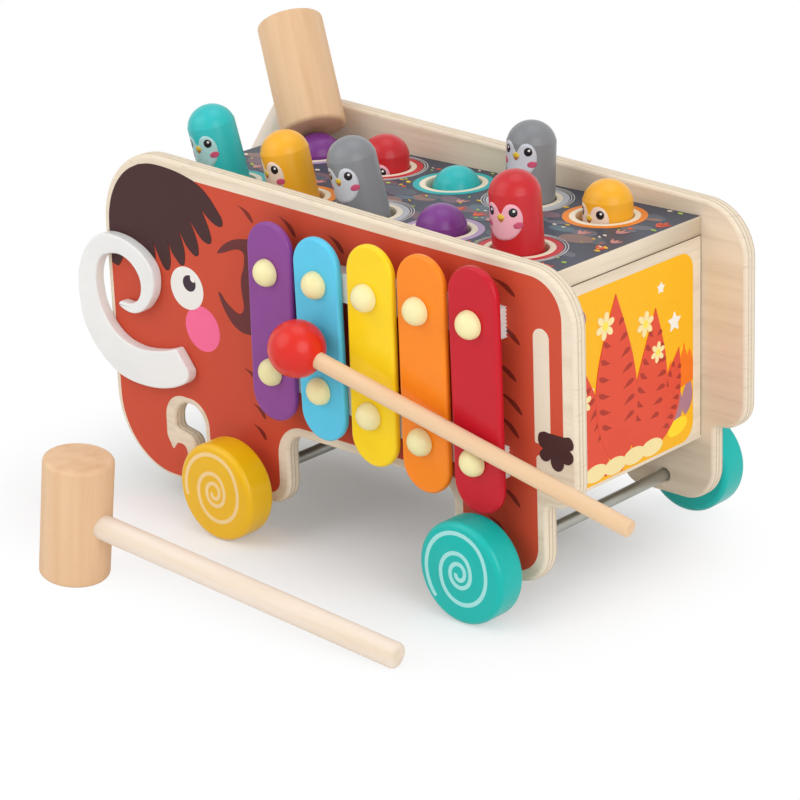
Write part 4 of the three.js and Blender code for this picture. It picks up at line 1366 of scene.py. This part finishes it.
class BENCH_OT_pegs(BenchOperator):
    """Makes the ten peg figures with their faces"""

    bl_idname = "bench.pegs"
    bl_label = "Peg figures"

    masks = {"turquoise": "B2DBDB", "yellow": "F4DBC6", "gray": "D0D3DA", "red": "F2AFBC", "purple": "CDA9D8"}

    def build(self, scene):
        for row, column, tone, rise, lean, sway, yaw, drop in PEGS:
            tilt = math.radians(PEG_MOST_LEAN * lean)
            heading = math.radians(PEG_LEAN_HEADING)
            axis = Vector((*polar(math.sin(tilt), heading), math.cos(tilt)))
            reach = (HALF_BOARD + PEG_RISE * rise) / math.cos(tilt)
            play = sway * (HOLE_RADIUS - PEG_RADIUS)
            x = PEG_COLUMNS[column - 1] - play * math.cos(heading)
            y = PEG_ROWS[row] - play * math.sin(heading)
            top = at(x, y, BOARD_TOP - HALF_BOARD) + axis * reach * MM
            turn = Vector((0, 0, 1)).rotation_difference(axis).to_matrix().to_4x4()
            matrix = Matrix.Translation(top) @ turn @ Matrix.Rotation(math.radians(yaw), 4, "Z")
            form = Form()
            scale = Matrix.Scale(MM, 4)
            paint = finish(f"peg_{tone}", lacquer, getattr(scene.bench_paint, tone), 0.36, 0.15)
            form.lathe(self.profile(), scale, paint, 64)
            self.face(form, tone, 18.6 - drop)
            node = f"peg_{row}_{column}_{tone}"
            form.make(f"{row}_figure_{column}_{tone}", f"peg_{row}_{column}", [node], matrix)

    def profile(self):
        """From the foot up: a flange, the shank, a soft shoulder and a low dome."""
        foot = -PEG_LENGTH
        top, wide, soft = foot + 3, PEG_FOOT_RADIUS, 0.6
        flange = [(0, foot), (wide - soft, foot), (wide, foot + soft), (wide, top - soft), (wide - soft, top)]
        shank = [(PEG_RADIUS, top), (PEG_RADIUS, -9.4), (PEG_RADIUS - 0.08, -8.9)]
        return flange + shank + self.dome(PEG_RADIUS - 0.4, 8.3)

    def dome(self, radius, height, fullness=0.45, steps=13):
        """From the shoulder up: a sphere's cap drawn part of the way out to an ellipse."""
        sphere = radius + 1.7
        wide = math.asin(radius / sphere)
        made = []
        for k in range(steps + 1):
            angle = wide * (1 - k / steps)
            drop = (1 - math.cos(angle)) / (1 - math.cos(wide))
            cap, full = sphere * math.sin(angle), radius * math.sqrt(1 - (1 - drop) ** 2)
            made.append((cap + (full - cap) * fullness, -height * drop))
        return made

    def face(self, form, tone, rise):
        def wrap(height):
            def place(p, layer):
                radius = PEG_RADIUS + (height if layer > 0 else -0.1)
                angle = p.x / PEG_RADIUS
                return Vector((radius * math.sin(angle), -radius * math.cos(angle), p.y + rise)) * MM
            return place

        mask = [(0, -19.7), (0.8, -18.6), (1.7, -16.9), (3, -15.4), (5, -14.7), (7.2, -15.3), (9, -17.2), (10, -20),
                (10, -23.2), (8.9, -26.6), (6.6, -29.4), (3.6, -31), (0, -31.5)]
        left = [(-x, z) for x, z in reversed(mask)]
        ring = lobed([mask, left], 5)
        form.patch(ring, (0, -24), wrap(0.06), finish(f"mask_{tone}", lacquer, linear(self.masks[tone]), 0.42, 0.1))
        black = finish("figure_black", lacquer, linear("1D1B20"), 0.2, 0.3)
        white = finish("figure_white", lacquer, linear("F6F4F0"), 0.3, 0.1)
        pink = finish("figure_cheek", lacquer, linear("CF5577"), 0.4, 0.1)
        beak = finish("figure_beak", lacquer, linear("E9C440"), 0.35, 0.1)
        low_beak = finish("figure_low_beak", lacquer, linear("B9713A"), 0.35, 0.1)
        for side in (-1, 1):
            form.patch(oval(side * 6, -18.6, 2, 2.1, 0, 24), (side * 6, -18.6), wrap(0.12), black, 3)
            form.patch(oval(side * 6 + 0.4, -18, 0.6, 0.6, 0, 16), (side * 6 + 0.4, -18), wrap(0.18), white, 2)
            form.patch(oval(side * 8, -24.6, 2.3, 1.5, side * 0.1, 24), (side * 8, -24.6), wrap(0.12), pink, 3)
        upper = [Vector(p) for p in ((0, -19.3), (1.2, -19.8), (2.1, -20.9), (1.4, -21.6), (0, -21.8), (-1.4, -21.6),
                                     (-2.1, -20.9), (-1.2, -19.8))]
        lower = [Vector(p) for p in ((1.5, -21), (1.2, -22.4), (0, -23.3), (-1.2, -22.4), (-1.5, -21))]
        form.patch(upper, (0, -20.7), wrap(0.18), beak, 2)
        form.patch(lower, (0, -21.9), wrap(0.13), low_beak, 2)


class BENCH_OT_wheels(BenchOperator):
    """Makes the four wheels with their spirals, the axles and the spacers"""

    bl_idname = "bench.wheels"
    bl_label = "Running gear"

    def build(self, scene):
        metal = finish("axle_steel", steel, linear("B4B4AC"))
        ring = finish("spacer_wood", beech, linear("E0C9A0"), linear("C6A679"), 1)
        for word, line_code, slot in (("head", "F6D79A", "wheel_yellow"), ("tail", "A5E3E0", "wheel_teal")):
            paint = finish(f"wheel_{word}", lacquer, getattr(scene.bench_paint, f"wheel_{word}"), 0.36, 0.2, 0.1)
            line = inked(f"wheel_line_{word}", line_code)
            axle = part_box(f"axle_{word}")
            x = ((axle[0].x + axle[1].x) / 2 - middle_x) / MM
            reach = (axle[1].y - axle[0].y) / 2 / MM
            form = Form()
            edge = [(AXLE_RADIUS - 0.3, -reach), (AXLE_RADIUS, 0.3 - reach)]
            profile = [(0, -reach), *edge, *[(r, -h) for r, h in reversed(edge)], (0, reach)]
            form.lathe(profile, placed((x, 0, WHEEL_RADIUS), (0, 0, 1), (1, 0, 0)), metal, 32)
            form.make(f"{word}_axle_rod", f"{word}_axle", [f"axle_{word}"])
            for side, place in ((-1, "front"), (1, "rear")):
                low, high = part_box(f"wheel_{word}_{place}")
                outer = (low.y if side < 0 else high.y) / MM - middle_y / MM
                thick = (high.y - low.y) / MM
                matrix = placed((x, outer, WHEEL_RADIUS), (-side, 0, 0), (0, 0, 1))
                form = Form()
                form.lathe(drum(WHEEL_RADIUS, -thick, 0, 3, 8), matrix, paint, 96, 50)
                form.decal(self.spiral(word), matrix, 2, line)
                form.make(f"{word}_wheel_{place}", f"{word}_axle", [f"wheel_{word}_{place}"])
                dress(f"spacer_{word}_{place}", ring)

    def spiral(self, word, width=2.0):
        """A line of even width that winds in clockwise and has blunt ends."""
        early, reach = (15, 19) if word == "head" else (45, 20)
        line = [(-early / 90, reach, 0), *[(i, r, 0) for i, r in enumerate(SPIRAL)]]
        middle = []
        for p in spline(line, 12):
            angle = math.pi - p.x * math.pi / 2
            middle.append(Vector(polar(p.y, angle)))
        left, right = [], []
        for i, p in enumerate(middle):
            along = (middle[min(i + 1, len(middle) - 1)] - middle[max(i - 1, 0)]).normalized()
            across = Vector((-along.y, along.x)) * width / 2
            left.append(p + across)
            right.insert(0, p - across)
        return cleaned(left + right)


def hammer_matrix(place, heading, drop):
    """A frame whose X runs along the handle and whose Z leans with the head."""
    level = math.cos(drop)
    along = Vector((*polar(level, heading), -math.sin(drop)))
    return laid(place, along)


class BENCH_OT_hammers(BenchOperator):
    """Makes the hammer on the floor and the hammer that leans on the bench"""

    bl_idname = "bench.hammers"
    bl_label = "Hammers"

    def build(self, scene):
        rim = HAMMER_RADIUS - 2
        tilt = math.atan((HAMMER_LENGTH / 2 - HANDLE_RADIUS) / (HANDLE_REACH - 1 - rim))
        height = rim * math.sin(tilt) + HAMMER_LENGTH / 2 * math.cos(tilt)
        floor = hammer_matrix((*FLOOR_HAMMER, height), FLOOR_HEADING, tilt)
        leaning = hammer_matrix(LEANING_HAMMER, LEANING_HEADING, LEANING_DROP)
        wood = scene.bench_wood
        head = finish("hammer_head_wood", beech, wood.head, linear("CB9A6C"), 2)
        handle = finish("hammer_handle_wood", beech, wood.handle, linear("D9BC94"), 0)
        for word, matrix in (("floor", floor), ("leaning", leaning)):
            form = Form()
            profile = drum(HAMMER_RADIUS, -HAMMER_LENGTH / 2, HAMMER_LENGTH / 2, 2.2, 5)
            form.lathe(profile, Matrix.Scale(MM, 4), head, 80, 50)
            form.make(f"{word}_hammer_head", f"hammer_{word}", [f"hammer_{word}_head"], matrix)
            form = Form()
            form.lathe(rod(HANDLE_RADIUS, HANDLE_FOOT, HANDLE_REACH, HANDLE_END), ALONG_X, handle, 48)
            form.make(f"{word}_hammer_handle", f"hammer_{word}", [f"hammer_{word}_handle"], matrix)


class BENCH_OT_mallet(BenchOperator):
    """Makes the mallet that rests on the bars"""

    bl_idname = "bench.mallet"
    bl_label = "Mallet"

    def build(self, scene):
        matrix = laid(MALLET, Vector(MALLET_ALONG).normalized())
        form = Form()
        arc = [math.pi * k / 28 for k in range(29)]
        profile = [(BALL_RADIUS * math.sin(a), -BALL_RADIUS * math.cos(a)) for a in arc]
        profile[0] = (0, -BALL_RADIUS)
        profile[-1] = (0, BALL_RADIUS)
        form.lathe(profile, ALONG_X, finish("ball_paint", lacquer, scene.bench_paint.ball, 0.3, 0.15), 56)
        form.make("mallet_striker", "mallet", ["mallet_ball"], matrix)
        form = Form()
        wood = finish("stick_wood", beech, scene.bench_wood.stick, linear("D6AA78"), 0)
        form.lathe(rod(STICK_RADIUS, STICK_FOOT, STICK_REACH, STICK_END), ALONG_X, wood, 40)
        form.make("mallet_rod", "mallet", ["mallet_stick"], matrix)


class BENCH_OT_stage(BenchOperator):
    """Makes the floor, the background, the lamps and the camera"""

    bl_idname = "bench.stage"
    bl_label = "Stage"

    eye = (880.787, -956.996, 541.047)
    yaw, pitch, roll = 0.752865433, -0.355936874, -0.0380525386
    lens = 129.124

    # The floor, in metres: half its width, its height, half the box that stays shaded, and the fade round it.
    floor_reach = 6
    floor_height = -0.0002
    shaded = (0.1, 0.03, 0)
    fade = 0.12

    def build(self, scene):
        self.floor()
        self.world(scene)
        self.lamps()
        self.camera(scene)
        scene.view_settings.view_transform = "Standard"

    def floor(self):
        """White paper that shows its shading close to the bench and fades into the background."""
        made = Finish("floor_paper")
        grain = made.noise(40, 3)
        base = made.mix(grain.step(0.3, 0.8), (0.9, 0.9, 0.9, 1), (0.88, 0.88, 0.88, 1))
        made.set(base_color=base, roughness=grain * 0.1 + 0.75)
        glow = made.node("ShaderNodeEmission", None, {"Strength": 1.0})
        share = made.seen() * (self.far(made) * 0.84 + 0.16)
        made.feed(made.output.inputs[0], made.blend(share, made.shader, glow))
        form = Form()
        index = form.index(made.material)
        corners = [(x * self.floor_reach, y * self.floor_reach) for x, y in ((-1, -1), (1, -1), (1, 1), (-1, 1))]
        form.face(form.ring([Vector((x, y, self.floor_height)) for x, y in corners]), index)
        floor = form.shown("studio_floor")

    def far(self, made):
        """Zero in the box of floor that stays shaded, rising to one over the length of the fade."""

        def vector(operation, first, second=(0, 0, 0)):
            return made.node("ShaderNodeVectorMath", {"operation": operation}, {0: first, 1: second}).outputs

        folded = vector("ABSOLUTE", made.place)["Vector"]
        beyond = vector("SUBTRACT", folded, self.shaded)["Vector"]
        apart = vector("LENGTH", vector("MAXIMUM", beyond)["Vector"])["Value"]
        return Value(made, apart).step(0, self.fade)

    def world(self, scene):
        """A soft light all round the bench, and plain white where the camera looks past it."""
        world = bpy.data.worlds.new("studio")
        scene.world = world
        world.use_nodes = True
        nodes = Nodes(world.node_tree)
        soft = nodes.node("ShaderNodeBackground", None, {"Strength": 0.68})
        white = nodes.node("ShaderNodeBackground", None, {"Color": (1, 1, 1, 1), "Strength": 1.0})
        nodes.node("ShaderNodeOutputWorld", None, {0: nodes.blend(nodes.seen(), soft, white)})

    def lamps(self):
        target = Vector((0, 0, 0.1))
        for name, place, size, power in (
            ("key", (-0.9, -1.6, 1.5), 2.2, 19),
            ("fill", (1.8, -0.7, 0.9), 1.6, 17),
            ("top", (0.1, 0.3, 2.2), 1.6, 9),
        ):
            lamp = bpy.data.lights.new(name, "AREA")
            lamp.shape = "DISK"
            lamp.size = size
            lamp.energy = power
            made = bpy.data.objects.new(name, lamp)
            made.location = place
            made.rotation_euler = (target - Vector(place)).to_track_quat("-Z", "Y").to_euler()
            bpy.context.scene.collection.objects.link(made)

    def camera(self, scene):
        ahead = Vector((
            -math.sin(self.yaw) * math.cos(self.pitch),
            math.cos(self.yaw) * math.cos(self.pitch),
            math.sin(self.pitch),
        ))
        right = ahead.cross(Vector((0, 0, 1))).normalized()
        up = right.cross(ahead)
        c, s = math.cos(self.roll), math.sin(self.roll)
        right, up = right * c + up * s, up * c - right * s
        turn = Matrix((right, up, -ahead)).transposed().to_4x4()
        data = bpy.data.cameras.new("view")
        data.lens = self.lens
        data.sensor_width = 36
        data.clip_start, data.clip_end = 0.05, 30
        camera = bpy.data.objects.new("view", data)
        camera.matrix_world = Matrix.Translation(at(*self.eye)) @ turn
        scene.collection.objects.link(camera)
        scene.camera = camera


class BENCH_PT_panel(bpy.types.Panel):
    """Lists the bench's operators and settings."""

    bl_label = "Pounding bench"
    bl_space_type = "VIEW_3D"
    bl_region_type = "UI"
    bl_category = "Bench"

    def draw(self, context):
        for made in STEPS:
            self.layout.operator(made.bl_idname)
        for key, group in SETTINGS.items():
            box = self.layout.box()
            for name in group.__annotations__:
                box.prop(getattr(context.scene, key), name)


SETTINGS = {
    "bench_panel_paint": BenchPanelPaint,
    "bench_wood": BenchWood,
    "bench_print": BenchPrint,
    "bench_ground": BenchGround,
    "bench_paint": BenchPaint,
}
STEPS = [
    BENCH_OT_panels,
    BENCH_OT_board,
    BENCH_OT_walls,
    BENCH_OT_bars,
    BENCH_OT_tusks,
    BENCH_OT_spinners,
    BENCH_OT_pegs,
    BENCH_OT_wheels,
    BENCH_OT_hammers,
    BENCH_OT_mallet,
    BENCH_OT_stage,
]


def register():
    for made in (*SETTINGS.values(), *STEPS, BENCH_PT_panel):
        bpy.utils.register_class(made)
    for key, group in SETTINGS.items():
        setattr(bpy.types.Scene, key, bpy.props.PointerProperty(type=group))


def unregister():
    for key in SETTINGS:
        delattr(bpy.types.Scene, key)
    for made in (BENCH_PT_panel, *STEPS, *SETTINGS.values()):
        bpy.utils.unregister_class(made)


def main():
    register()
    for made in STEPS:
        getattr(bpy.ops.bench, made.bl_idname.split(".")[1])()


if __name__ == "__main__":
    main()
